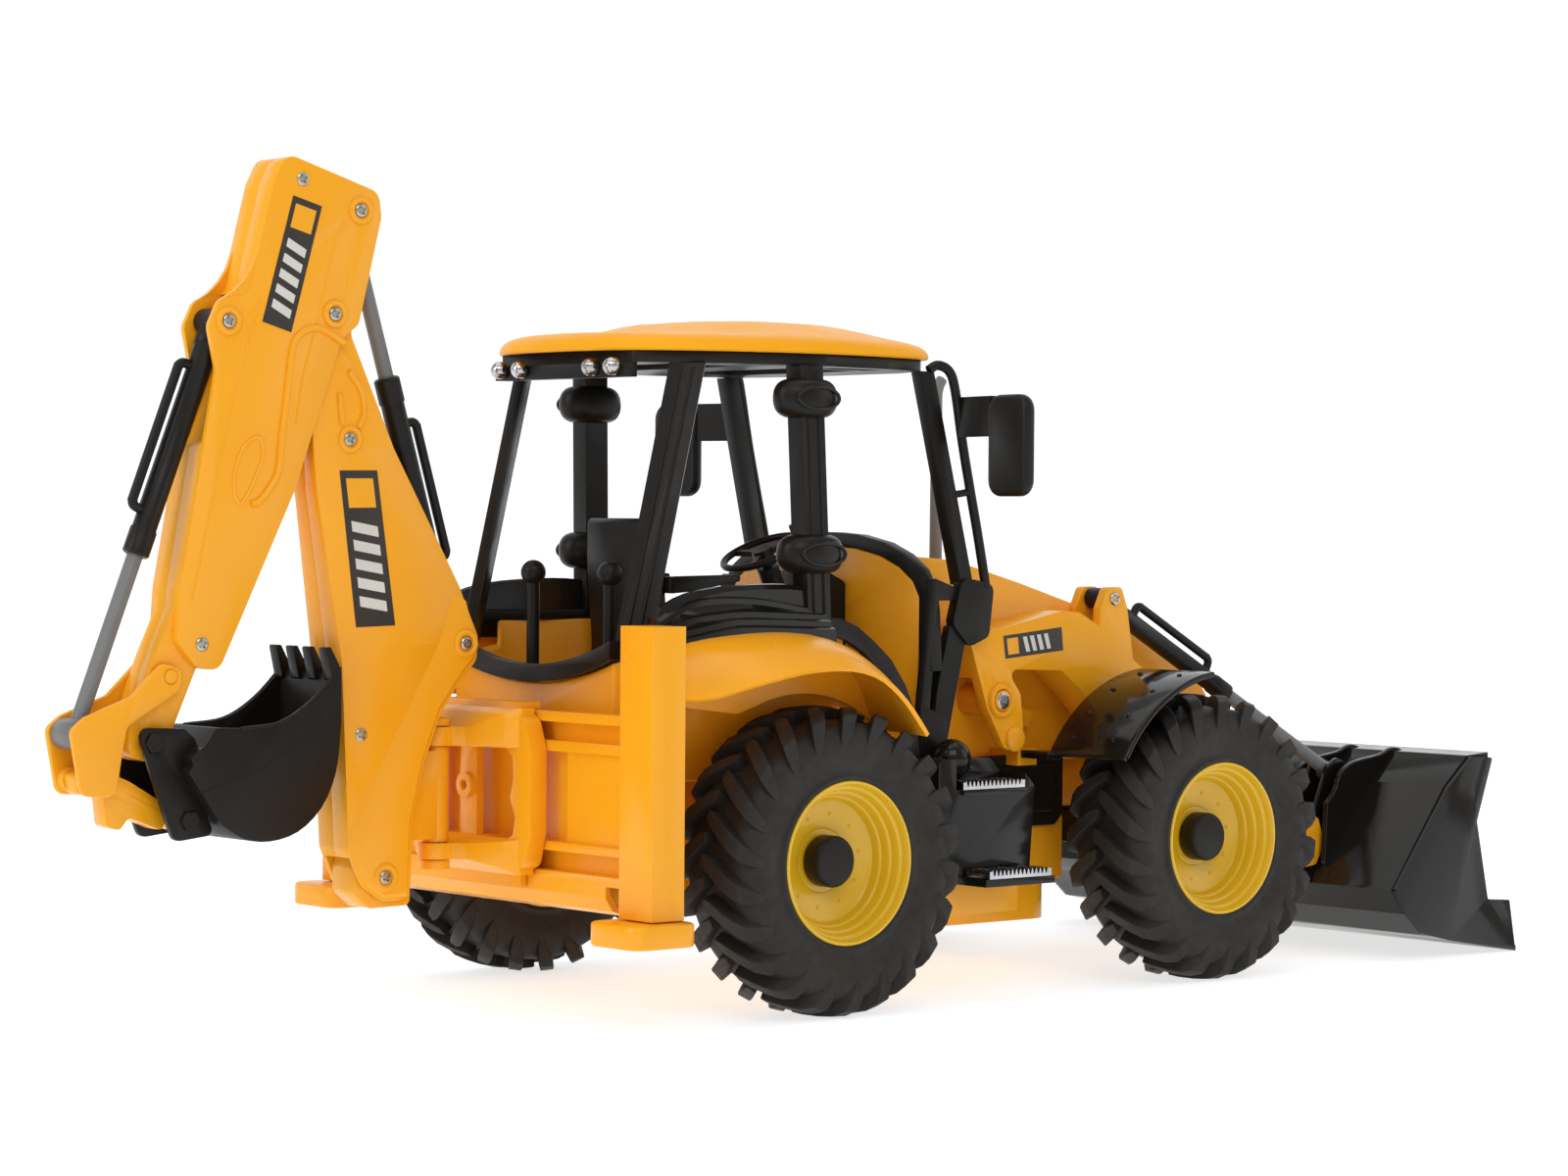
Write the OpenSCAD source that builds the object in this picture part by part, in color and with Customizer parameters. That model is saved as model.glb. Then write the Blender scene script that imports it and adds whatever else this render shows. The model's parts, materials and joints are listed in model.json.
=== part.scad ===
// Toy backhoe loader, 1:16. Lengths are millimetres, angles are degrees.
// Inside this file x = 0 is the rear axle, +X forward, +Y left, z = 0 the ground.
// at_origin() then shifts every piece so that the part's own origin is on the
// ground at the middle of its overall length.

/* [Wheels] */
// Outer diameter of each tyre
tyre_d = 88; // [86:0.5:88]
// Width of each tyre
tyre_w = 28; // [26:0.5:28]
// Diameter of each rim over its flanges
rim_d = 47; // [46:0.5:48]
// Distance between the axles
wheelbase = 153; // [151:0.5:155]
// Distance between the left and right tyre centres
track = 141; // [140:0.5:142]
// Diameter of the axle shafts
axle_d = 4; // [3.5:0.1:4]
// Radius of the black hub caps
hub_r = 7.4; // [6.5:0.1:8]

/* [Cab] */
// Height of the cab floor's underside
floor_z = 66; // [66:0.5:67]
// Height of the roof's lower edge
roof_z = 189; // [188:0.5:190]
// Half width of the cab at its middle posts
cab_half_w = 52; // [51:0.5:53]

/* [Backhoe] */
// Half width of the dipper over its side plates
dipper_half_w = 7.2; // [7:0.1:7.4]
// Half width of the boom at its foot
boom_half_w = 7.4; // [7.2:0.1:7.6]
// Thickness of moulded plates and shells
wall = 1.6; // [1.4:0.1:1.8]
// Half width of the digging bucket
dig_half_w = 14.5; // [14:0.5:16]
// Diameter of the ram barrels
barrel_d = 7.4; // [7:0.1:7.6]
// Diameter of the ram rods
rod_d = 4.4; // [4:0.1:4.6]

/* [Loader] */
// Half width of the front bucket
bucket_half_w = 82; // [78:1:84]
// Outer half spacing of the loader arms
arm_outer = 46; // [45:0.5:46]
// Thickness of each loader arm
arm_w = 14; // [13:0.5:14]

/* [Stabilisers] */
// Travel of each stabiliser leg
leg_travel = 24; // [20:1:24]
// Height of the feet above the ground with the legs up
foot_z = 24; // [24:1:26]

/* [Fits] */
// Radial clearance of a running fit
run = 0.05; // [0.03:0.01:0.08]
// Side gap between moving plates
gap = 0.3; // [0.25:0.05:0.4]

/* [Hidden] */
$fn = 48;
// Rearmost point (bucket link) and foremost point (bucket lip) along x
rear_end = -206.1;
front_end = 295.5;
mid_x = (rear_end + front_end) / 2;
axle_z = tyre_d / 2;
axle_r = axle_d / 2;
wheel_y = track / 2;
rim_half = tyre_w / 2 - 1;
// Faces of a wheel's boss and of its hub cap, measured from the wheel's centre outward
boss_in = -2.3;
boss_out = 0.6;
cap_in = 0.9;
cap_out = 7;
axle_end = 5.5;
kingpin_y = 50;
// Pivots of the backhoe as [x, z]
slew_x = -84;
boom_foot = [-106.7, 40.2];
boom_head = [-123.8, 196.7];
boom_ram_base = [-79.5, 105.1];
dipper_lever = [-115.4, 225.7];
dipper_ear = [-158.2, 193.5];
crank_pin = [-175.7, 97.6];
crank_rod = [-201.2, 82.6];
crank_tail = [-199.5, 70.3];
bucket_pin = [-182.2, 80.1];
bucket_tail = [-171.3, 58.9];
// Pivots of the loader as [x, z]
arm_pin = [93.6, 86.3];
arm_bucket = [233, 36];
tilt_base = [142.4, 117];
tilt_bucket = [250, 59];
tilt_y = arm_outer - arm_w / 2;
yellow = "#F5A41E";
black = "#26221F";
lemon = "#E8B923";
grey = "#7A7A78";
rubber = "#3A3733";
steel = "#B8B8BA";

// ---- helpers ----

module at_origin() translate([-mid_x, 0, 0]) children();

// A plate with an [x, z] outline, between two y values
module plate(points, y0, y1)
    translate([0, y1, 0]) rotate([90, 0, 0]) linear_extrude(y1 - y0) polygon(points);

// The same plate on both sides of the centre plane
module plate_pair(points, y0, y1) {
    plate(points, y0, y1);
    plate(points, -y1, -y0);
}

// A block from its lowest to its highest corner
module block(a, b) translate(a) cube(b - a);

module block_pair(a, b) {
    block(a, b);
    block([a.x, -b.y, a.z], [b.x, -a.y, b.z]);
}

// A pin along Y at an [x, z] point, between two y values
module pin(p, r, y0, y1) translate([p.x, y0, p.y]) rotate([-90, 0, 0]) cylinder(r = r, h = y1 - y0);

module pin_pair(p, r, y0, y1) {
    pin(p, r, y0, y1);
    pin(p, r, -y1, -y0);
}

// Corner b of an outline, rounded to radius r where the sides leave room
function unit(v) = v / norm(v);
function wrap(d) = d > 180 ? d - 360 : d < -180 ? d + 360 : d;
function corner(a, b, c, r, n) =
    let (u = unit(a - b), w = unit(c - b),
        half = acos(max(-1, min(1, u * w))) / 2,
        cut = min(r / tan(half), 0.45 * min(norm(a - b), norm(c - b))),
        m = b + unit(u + w) * cut / cos(half),
        p = b + u * cut - m, q = b + w * cut - m,
        from = atan2(p.y, p.x), turn = wrap(atan2(q.y, q.x) - from))
    [for (i = [0:n]) m + norm(p) * [cos(from + turn * i / n), sin(from + turn * i / n)]];
function rounded(pts, r, n = 4) =
    let (k = len(pts))
    [for (i = [0:k - 1]) each r == 0 ? [pts[i]] :
        corner(pts[(i + k - 1) % k], pts[i], pts[(i + 1) % k], r, n)];
function mirrored(pts) =
    [each pts, each [for (i = [len(pts) - 1:-1:0]) [pts[i].x, -pts[i].y]]];
// An outline seen from the front, completed on the other side of the centre plane
function across(pts) =
    [each pts, each [for (i = [len(pts) - 1:-1:0]) [-pts[i].x, pts[i].y]]];
// Smooth curve through a list of points
function through(p, n = 3) = concat([for (i = [0 : len(p) - 2], k = [0 : n - 1])
    let (a = p[i], b = p[i + 1], s = k / n,
        before = i > 0 ? p[i - 1] : 2 * a - b,
        after = i + 2 < len(p) ? p[i + 2] : 2 * b - a)
    0.5 * (2 * a + (b - before) * s + (2 * before - 5 * a + 4 * b - after) * s * s
        + (3 * a - before - 3 * b + after) * s * s * s)], [p[len(p) - 1]]);

function arc(centre, r, from, to, n = 12) =
    [for (i = [0:n]) centre + r * [cos(from + (to - from) * i / n), sin(from + (to - from) * i / n)]];

// A straight bar with a rectangular section between two points
module bar(a, b, size) {
    hull() {
        translate(a) cube(size, center = true);
        translate(b) cube(size, center = true);
    }
}

module both_sides() {
    children();
    mirror([0, 1, 0]) children();
}

// Places a ram drawn along +X so that it runs from an [x, z] point towards another
module along(from, to) {
    d = to - from;
    translate([from.x, 0, from.y]) rotate([0, -atan2(d.y, d.x), 0]) children();
}

// ---- wheels ----

module at_wheel(x, y) translate([x, y, axle_z]) rotate([y < 0 ? 90 : -90, 0, 0]) children();

module tyre(x, y) color(rubber) at_origin() at_wheel(x, y) {
    r = tyre_d / 2;
    w = tyre_w / 2;
    b = rim_d / 2 - 1;
    rotate_extrude($fn = 72) polygon([
        [b, -w + 2.6], [b + 2.5, -w + 0.8], [r - 9, -w], [r - 3.5, -w + 0.9], [r, -w + 4],
        [r, w - 4], [r - 3.5, w - 0.9], [r - 9, w], [b + 2.5, w - 0.8], [b, w - 2.6]]);
}

module rim(x, y) color(lemon) at_origin() at_wheel(x, y) {
    r = rim_d / 2;
    rotate_extrude($fn = 72) polygon([
        [axle_r + run, boss_in], [6, boss_in], [6.6, -0.6], [15, 0.6], [18.6, 3.2],
        [r - 3.2, 3.8], [r - 3.2, -rim_half], [r, -rim_half], [r, -rim_half + 0.7],
        [r - 1.1, -rim_half + 1.5], [r - 1.1, rim_half - 1.5], [r, rim_half - 0.7],
        [r, rim_half], [r - 1.8, rim_half], [r - 3.2, 9], [17.8, 5.2], [14.4, 2.2],
        [9, boss_out], [axle_r + run, boss_out]]);
}

module hub_cap(x, y) at_wheel(x, y) difference() {
    union() {
        translate([0, 0, cap_in]) cylinder(r = hub_r, h = cap_out - cap_in - 0.8);
        translate([0, 0, cap_out - 0.8]) cylinder(r1 = hub_r, r2 = hub_r - 0.8, h = 0.8);
    }
    translate([0, 0, cap_in - 1]) cylinder(r = axle_r + 0.02, h = axle_end + 0.1 - cap_in + 1);
}

module rear_axle() color(steel) at_origin()
    pin([0, axle_z], axle_r, -wheel_y - axle_end, wheel_y + axle_end);

module rear_hub_caps() color(black) at_origin() {
    hub_cap(0, wheel_y);
    hub_cap(0, -wheel_y);
}

module front_axle() color(black) at_origin() {
    difference() {
        union() {
            block([wheelbase - 6, -44, axle_z - 5], [wheelbase + 6, 44, axle_z + 5]);
            block([wheelbase - 6, -12, axle_z + 5], [wheelbase + 6, 12, axle_z + 7]);
            both_sides() {
                block([wheelbase - 5, 43, axle_z + 6.8], [wheelbase + 5, 50, axle_z + 9.6]);
                block([wheelbase - 5, 43, axle_z - 9.6], [wheelbase + 5, 50, axle_z - 6.8]);
                block([wheelbase - 5, 40, axle_z - 9.6], [wheelbase + 5, 44, axle_z + 9.6]);
                translate([wheelbase, kingpin_y, axle_z - 9.6]) cylinder(r = 5, h = 2.8);
                translate([wheelbase, kingpin_y, axle_z + 6.8]) cylinder(r = 5, h = 2.8);
            }
        }
    }
    both_sides() translate([wheelbase, kingpin_y, axle_z - 9]) cylinder(r = 1.6, h = 18);
}

module knuckle(side) color(black) at_origin() {
    difference() {
        union() {
            translate([wheelbase, side * kingpin_y, axle_z - 6.4]) cylinder(r = 4.4, h = 12.8);
            rotate_y_pin(side, 5, 52, wheel_y + boss_in - gap);
            rotate_y_pin(side, axle_r, 52, wheel_y + axle_end);
        }
        translate([wheelbase, side * kingpin_y, axle_z - 7]) cylinder(r = 1.6 + run, h = 14);
    }
}

module front_hub_cap(side) color(black) at_origin() hub_cap(wheelbase, side * wheel_y);

module rotate_y_pin(side, r, y0, y1)
    if (side > 0) pin([wheelbase, axle_z], r, y0, y1); else pin([wheelbase, axle_z], r, -y1, -y0);

// ---- chassis ----

module chassis_frame() color(yellow) at_origin() {
    difference() {
        union() {
            block([-49.9, -38, 30], [128, 38, floor_z]);
            block([-57, -30, 36], [-49.9, 30, floor_z]);
            block([128, -24, axle_z + 7], [200, 24, floor_z]);
            block([196, -26, 40], [202, 26, floor_z]);
            translate([0, 0, 18]) linear_extrude(12)
                polygon(rounded(mirrored([[46, 40], [118, 40], [136, 18]]), 9));
            pin_pair([0, axle_z], 6, 38, wheel_y + boss_in - gap);
            block_pair([50, 38, 24], [86, 62, 33.6]);
        }
        pin([0, axle_z], axle_r + 0.03, -80, 80);
        block([-44, -30, 36], [-12, 30, floor_z + 1]);
        block([12, -30, 36], [84, 30, floor_z + 1]);
    }
}

module rear_frame() color(yellow) at_origin() {
    frame_x = -66;
    // Back panel with its four rails
    block([frame_x + 4, -65.4, 40], [-57.1, 65.4, 86]);
    for (z = [[38.8, 41.6], [47.3, 49.8], [75.3, 78.3], [83.6, 86.4]])
        block([frame_x, -65.4, z[0]], [frame_x + 4, 65.4, z[1]]);
    block_pair([frame_x + 1.6, 36, 49.8], [frame_x + 4, 65.4, 75.3]);
    // Skirt under the panel
    plate([[frame_x, 38.9], [frame_x, 35.6], [-63.4, 31.8], [-57.1, 30], [-50.2, 30], [-50.2, 31.8], [-57, 31.8],
        [-62, 33.4], [-64, 36.4], [-64, 38.9]], -56, 56);
    // Guides that the stabiliser legs slide in
    both_sides() difference() {
        block([-68.8, 65.4, 31], [-57.4, 80, 111.5]);
        block([-67, 67.2, 30], [-59.2, 78.2, 109.9]);
    }
}

module stabiliser(side) color(yellow) at_origin() mirror([0, side < 0 ? 1 : 0, 0]) {
    block([-66.6, 67.6, foot_z + 7.4], [-59.6, 77.8, 108]);
    translate([-66.4, 73, foot_z]) linear_extrude(6.6)
        polygon(rounded(mirrored([[-11.6, 11.8], [11.6, 11.8]]), 5.5, 6));
    block([-66.6, 67.6, foot_z + 6.6], [-59.6, 77.8, foot_z + 7.4]);
}

module loader_towers() color(yellow) at_origin() {
    both_sides() {
        plate(rounded([[80, floor_z], [112, floor_z], [112, 74], [100.5, 93], [88, 94], [82, 84]], 3),
            28.3, arm_outer - arm_w - gap);
        block([103, 28.3, floor_z], [111, 44, 71]);
        plate([[101, 86.7], [122, 81.6], [120, 77], [101, 79.8]], 28.3, 31);
    }
    pin_pair(arm_pin, 2, arm_outer - arm_w - gap, arm_outer + 0.3);
    pin_pair(arm_pin, 3.1, arm_outer + 0.3, arm_outer + 1.2);
}

// ---- cab ----

plan = [[-49.9, 38], [-43, 41], [-12, 50], [20, 51], [61, 46]];

hoop_r = 104;
hoop_z = 98.6 + hoop_r;

module cab_tub() color(yellow) at_origin() {
    difference() {
        translate([0, 0, floor_z]) linear_extrude(46) polygon(mirrored(plan));
        translate([0, 0, floor_z + 2]) linear_extrude(50) offset(delta = -2) polygon(mirrored(plan));
        // Door openings on both sides, and the open front above the floor
        block([26, -60, floor_z + 2], [70, 60, 130]);
        // The sill dips in an arc across the back
        translate([-70, 0, hoop_z]) rotate([0, 90, 0]) cylinder(r = hoop_r + 5.2, h = 40, $fn = 160);
        block_pair([-60, 34.1, 110], [-40, 60, 130]);
        block_pair([-40, 34.1, 110], [30, 60, 130]);
    }
}

module cowl() color(yellow) at_origin() difference() {
    translate([61.2, 0, 0]) rotate([90, 0, 90]) linear_extrude(4.6)
        polygon(across([[44, floor_z + 2.1], [44, 118], [41, 122.7], [35, 126.8], [26.4, 130.1], [15.1, 132.3],
            [5, 133]]));
    translate([60, 0, 108]) rotate([0, 90, 0]) cylinder(r = 3 + run, h = 8);
}

module lobe(x, y, z, rx, ry, h) translate([x, y, z]) scale([1, 1, 1]) linear_extrude(h, center = true)
    polygon([for (a = [0:15:345]) [rx * cos(a), ry * sin(a)]]);

module cab_frame() color(black) at_origin() {
    // Sill band across the back
    intersection() {
        translate([-52.4, 0, hoop_z]) rotate([0, 90, 0]) difference() {
            cylinder(r = hoop_r + 5, h = 4, $fn = 160);
            translate([0, 0, -1]) cylinder(r = hoop_r, h = 6, $fn = 160);
        }
        block([-60, -39.5, 90], [-40, 39.5, 112]);
    }
    both_sides() {
        // Rear posts stand diagonally on the corners
        hull() {
            translate([-44.4, 39, 102.4]) rotate([0, 0, 42]) cube([10.2, 3.4, 0.4], center = true);
            translate([-24.4, 39, 185.4]) rotate([0, 0, 42]) cube([10.2, 3.4, 0.4], center = true);
        }
        // Middle posts with their collars
        bar([12, cab_half_w + 0.6, 110.6], [9.6, cab_half_w - 1.2, 185.2], [8.6, 6.4, 0.6]);
        block([9, 44.6, floor_z + 2.1], [16, 48.4, 110.3]);
        block([9, 44.6, 110.3], [16, 50.5, 113]);
        lobe(9.8, cab_half_w - 1, 176, 9.6, 6.2, 6.4);
        lobe(11.2, cab_half_w, 131, 10, 6.6, 6.4);
        // Black edge of the doorway, down to the floor behind the fender
        plate([[15, 112.4], [15, 108.4], [24, 106], [30.7, 102.4], [37.7, 96.4], [43.6, 88], [47, 80],
            [48.8, 71.2], [53.5, 71.2], [51.5, 84], [47.4, 92.4], [41.8, 99.8], [35.5, 105], [28.6, 109.7],
            [21.8, 112.2]], 51.3, 53.7);
        // Front posts
        bar([76, 47, 122], [60.6, 45.7, 185.2], [5, 4.6, 0.6]);
        // Side sill from the rear post to the middle post
        bar([-38, 43.5, 111.6], [8, 51.4, 111.6], [6, 2.4, 2.4]);
        // Foot of the front post: latch plate and two short posts
        plate(rounded([[73, 124], [86, 122], [84, 106], [76, 103], [69, 110]], 3), 47.3, 50.8);
        plate(rounded([[69, 110], [76, 108], [67, 70], [61.5, 70], [64, 90]], 1.5), 46.7, 49.6);
        plate(rounded([[61.9, 124], [71, 121], [71, 117], [64, 117], [60.5, 80], [57, 80]], 1), 46.7, 49.6);
        plate([[57, floor_z + 2.2], [68, floor_z + 2.2], [68, 82], [57, 86]], 47.4, 50);
    }
    // Band around the cowl
    translate([61.4, 0, 0]) rotate([90, 0, 90]) linear_extrude(4.2) difference() {
        polygon(across([[44.1, 70], [47.2, 96], [49.9, 96], [48.8, 114], [47.4, 121], [43.8, 126.4], [37, 130.8],
            [28, 134.2], [16, 136.5], [5, 137.2]]));
        polygon(across([[44.1, 60], [44.1, 118], [41.1, 122.8], [35.1, 126.9], [26.5, 130.2], [15.1, 132.4],
            [5, 133.1]]));
    }
}

module cab_consoles() color(black) at_origin() both_sides() intersection() {
    translate([-40, 0, 0]) rotate([90, 0, 90]) linear_extrude(52)
        polygon([[51.4, 96], [63, 96], [63, 108.6], [56, 118], [52.4, 120], [51.4, 120]]);
    plate(rounded([[-42, 90], [13, 90], [13, 116], [0, 120.5], [-20, 118.5], [-40, 112]], 4), 40, 70);
    translate([0, 0, 80]) linear_extrude(50) polygon([[-40, 44.6 + 0.9], [-12, 51.5], [7, 51.9 + 4], [7, 56.2],
        [17, 56.2], [17, 70], [-40, 70]]);
}

module grab_rails() color(black) at_origin() both_sides() {
    y = 50;
    // Tube from the roof corner, forward and down to the latch plate
    bar([64.8, 47.6, 186.6], [68, y, 184], [2.6, 2.6, 2.6]);
    bar([68, y, 184], [76.2, y, 151], [2.6, 2.6, 2.6]);
    bar([76.2, y, 151], [82.6, y, 124.4], [2.6, 2.6, 2.6]);
    bar([73.6, 49.4, 149.4], [76.6, y, 150.2], [2.2, 2.2, 2.6]);
    // Bracket that carries the mirror
    plate_between([72.4, y + 1.3], [68, 68.1], 166, 178);
}

// An upright plate 2.4 thick between two [x, y] points
module plate_between(a, b, z0, z1) {
    d = b - a;
    translate([a.x, a.y, z0]) rotate([0, 0, atan2(d.y, d.x)])
        translate([0, -1.2, 0]) cube([norm(d), 2.4, z1 - z0]);
}

module mirrors() color(black) at_origin() both_sides()
    translate([66.6, 78, 0]) rotate([0, 0, 6.5]) translate([-2, 0, 163.6]) rotate([90, 0, 90])
        linear_extrude(4) polygon(rounded([[-9.4, -15.4], [9.2, -15.4], [9.2, 14.6], [-9.4, 14.6]], 5, 6));

roof_plan = [[-46, 16], [-40, 34], [-14, 49], [16, 55], [44, 52], [64, 46], [72, 26]];

module roof() color(yellow) at_origin() difference() {
    union() {
        hull() {
            translate([0, 0, roof_z]) linear_extrude(2.5) polygon(rounded(mirrored(roof_plan), 8));
            translate([1, 0, roof_z]) linear_extrude(6.6) scale([0.9, 0.86]) polygon(rounded(mirrored(roof_plan), 8));
        }
        hull() {
            translate([12, 0, roof_z + 3]) linear_extrude(2) scale([0.76, 0.9]) polygon(rounded(mirrored(roof_plan), 10));
            translate([12, 0, roof_z + 3]) linear_extrude(8) scale([0.62, 0.66]) polygon(rounded(mirrored(roof_plan), 10));
        }
    }
    translate([1, 0, roof_z - 1]) linear_extrude(5.4) scale([0.92, 0.9]) polygon(rounded(mirrored(roof_plan), 8));
}

module roof_liner() color(black) at_origin() {
    difference() {
        translate([0, 0, roof_z - 3.4]) linear_extrude(3.4)
            offset(delta = -2.4) polygon(rounded(mirrored(roof_plan), 8));
        for (x = [-24, 22]) block([x, -30, roof_z - 5], [x + 26, 30, roof_z + 1]);
        block([-60, -60, roof_z - 5], [-38.4, 60, roof_z + 1]);
        block_pair([28, 34, roof_z - 5], [48, 42, roof_z + 1]);
    }
    // Bar that the rear work lights sit on
    block([-41, -31, roof_z - 7.6], [-36.5, 31, roof_z - 3.4]);
}

module work_lights() color("#C8C8CA") at_origin() both_sides() for (y = [17, 27])
    translate([-41.05, y, roof_z - 4.6]) rotate([0, -90, 0]) rotate_extrude($fn = 32)
        polygon([[0, 0], [2.2, 0], [2.6, 0.6], [2.6, 1.6], each arc([0, 1.6], 2.6, 15, 75, 4), [0, 4.2]]);

module seat() color(black) at_origin() {
    block([-12, -7, floor_z + 2.1], [6, 7, 96]);
    plate(rounded([[-17, 96], [16, 96], [17, 101], [-16, 101]], 2), -15, 15);
    plate(rounded([[-17, 101], [-11, 101], [-13, 128], [-15, 141], [-19, 141], [-19, 128]], 2), -14.5, 14.5);
    plate(rounded([[-6, 119.5], [13, 122.5], [13, 124.5], [-13.4, 124], [-13.4, 119]], 0.8), 14.8, 18.6);
    plate(rounded([[-6, 119.5], [13, 122.5], [13, 124.5], [-13.4, 124], [-13.4, 119]], 0.8), -18.6, -14.8);
}

// The steering column leans back towards the seat
wheel_centre = [37, 131];
wheel_tilt = 24;

module at_column() translate([wheel_centre.x, 0, wheel_centre.y]) rotate([0, -wheel_tilt, 0]) children();

module steering_column() color(black) at_origin() {
    difference() {
        union() {
            plate(rounded([[44, floor_z + 2.1], [61, floor_z + 2.1], [61, 122], [52, 126], [45, 112]], 2), -11, 11);
            at_column() translate([0, 0, -26]) cylinder(r = 3.4, h = 21);
        }
        at_column() translate([0, 0, -16]) cylinder(r = 1.5 + run, h = 20);
    }
    block([60.8, -2.6, 105], [61.2, 2.6, 111]);
}

module steering_wheel() color(black) at_origin() at_column() {
    rotate_extrude() translate([12.4, 0]) circle(r = 1.1, $fn = 20);
    translate([0, 0, -3]) cylinder(r = 3.2, h = 4);
    translate([0, 0, -12]) cylinder(r = 1.5, h = 10);
    for (a = [90, 210, 330]) rotate([0, 0, a]) translate([2.6, -0.9, -1.2]) cube([9.4, 1.8, 1.6]);
    rotate([0, 0, -60]) translate([12.4, 0, 0]) cylinder(r = 1.5, h = 6.5);
}

lever_x = -36;
lever_y = 18.4;
lever_z = 76;

module control_lever(side) color(black) at_origin() translate([lever_x, side * lever_y, 0]) {
    translate([0, 0, 124.8]) sphere(r = 3.7, $fn = 32);
    translate([0, 0, lever_z]) cylinder(r = 1.9, h = 49);
    pin([0, lever_z], 2.6, -2.2, 2.2);
}

// ---- bonnet and trim ----

module bonnet() color(yellow) at_origin() {
    side = [[66, floor_z], [66, 131], [96, 128.8], [122, 121.6], [150, 113], [176, 103.5], [196, 94],
        [203.6, 84], [203.6, floor_z]];
    inner = [[64, floor_z - 1], [64, 128.8], [96, 126.6], [121, 119.6], [149, 111], [175, 101.6],
        [194.4, 92], [201.4, 83], [201.4, floor_z - 1]];
    difference() {
        intersection() {
            plate(rounded(side, 5), -28, 28);
            translate([60, 0, 0]) rotate([90, 0, 90]) linear_extrude(150)
                polygon(rounded([[-28, 60], [28, 60], [28, 110], [21, 132], [-21, 132], [-28, 110]], 9));
        }
        intersection() {
            plate(inner, -26, 26);
            translate([60, 0, 0]) rotate([90, 0, 90]) linear_extrude(150)
                polygon([[-26, 60], [26, 60], [26, 109], [19.6, 130.4], [-19.6, 130.4], [-26, 109]]);
        }
        translate([114, 6, 110]) cylinder(r = 2.1, h = 30);
        pin([arm_pin.x, arm_pin.y], 2.1, -40, 40);
    }
}

module front_grille() color(black) at_origin() difference() {
    block([203.6, -22, 69], [206, 22, 88]);
    for (z = [72.5:4:84.5]) block([202, -18, z - 0.9], [207, 18, z + 0.9]);
}

module exhaust() color(grey) at_origin() translate([114, 6, 0]) {
    translate([0, 0, 112]) cylinder(r = 2.05, h = 14);
    translate([0, 0, 126]) cylinder(r1 = 2.05, r2 = 1.8, h = 54);
    translate([9, 0, 180]) rotate([90, 0, 0]) rotate([0, 0, 140])
        rotate_extrude(angle = 40) translate([9, 0]) circle(r = 1.8, $fn = 24);
    translate([9, 0, 180]) rotate([90, 0, 0]) rotate([0, 0, 180 - 40]) translate([9, 0, 0])
        rotate([90, 0, 180]) cylinder(r = 1.8, h = 6.5);
}

module rear_fenders() color(yellow) at_origin() both_sides() difference() {
    intersection() {
        plate(rounded([[-57.3, 90], [-57.3, 108], [-30, 109], [-4, 108.6], [10, 104], [21, 96], [29.5, 80],
            [24, 80]], 3), 54, 84.4);
        translate([-62, 0, 0]) rotate([90, 0, 90]) linear_extrude(96)
            polygon([[63.2, 70], [84.4, 70], [84.4, 97.5], [81, 101.5], [72, 105.6], [63.2, 108.8]]);
    }
    // The hollow side over the wheel
    intersection() {
        plate([[-65, 80], [-65, 106.2], [-30, 107], [-5, 106.6], [8.8, 102.4], [19.4, 94.8], [26, 80]],
            62, 90);
        translate([-66, 0, 0]) rotate([90, 0, 90]) linear_extrude(110)
            polygon([[60, 70], [90, 70], [90, 93.6], [84.4, 95.3], [80, 99.4], [71.6, 103.6], [60, 107]]);
    }
    translate([0, 90, axle_z]) rotate([90, 0, 0]) cylinder(r = tyre_d / 2 + 3, h = 40);
}

module front_fenders() color(black) at_origin() both_sides() {
    // A quarter arc over the back of the wheel
    centre = [wheelbase, axle_z];
    plate([each arc(centre, 51.6, 96, 150, 14), each arc(centre, 50, 150, 96, 14)], 52, 84);
    plate([each arc(centre, 51.6, 96, 150, 14), each arc(centre, 48.6, 150, 96, 14)], 52, 53.4);
    // Tab to the loader tower
    block([104, 44.2, 68.4], [109.4, 56, 70.8]);
}

module step_boxes() color(black) at_origin() both_sides() {
    difference() {
        plate(rounded([[47, 36], [84, 36], [86, 62], [78, 70], [47, 71]], 2), 38.2, 69);
        block([54, 58, 61.8], [82, 80, 72]);
        block([40, 37, floor_z - 0.3], [69, 51.8, 80]);
    }
    plate(rounded([[56, 60.2], [82, 60.2], [82, 61.6], [56, 61.6]], 0.3), 69, 70.2);
    block([56, 62.2, 33.8], [84, 80, 36]);
    translate([64, 56, 70]) sphere(r = 6, $fn = 32);
}

module tread(x0, x1, y0, y1, z) {
    block([x0, y0, z], [x1, y1, z + 0.9]);
    block([x0, y0, z], [x0 + 0.9, y1, z + 2.2]);
    block([x1 - 0.9, y0, z], [x1, y1, z + 2.2]);
    for (x = [x0 + 2:2:x1 - 2], y = [y0 + 1:3:y1 - 1])
        translate([x, y, z + 0.9]) cylinder(r1 = 0.7, r2 = 0.2, h = 1.5, $fn = 4);
}

module step_treads() color("#C8C8CA") at_origin() both_sides() {
    tread(56, 81, 60, 70, 61.8);
    tread(57.5, 82.5, 70, 80, 36.1);
}

// ---- backhoe ----

carriage_back = -66.4;
yoke = [[-29, 52], [-29, 76], [-26, 84], [-20, 87], [20, 87], [26, 84], [29, 76], [29, 52], [26.6, 43], [20, 40],
    [-20, 40], [-26.6, 43]];
yoke_hole = [[-20.6, 51], [-22, 56], [-19.4, 61.6], [-21, 67], [-20.6, 73.4], [-17, 76], [17, 76], [20.6, 73.4],
    [21, 67], [19.4, 61.6], [22, 56], [20.6, 51], [17.6, 49.6], [-17.6, 49.6]];

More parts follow.
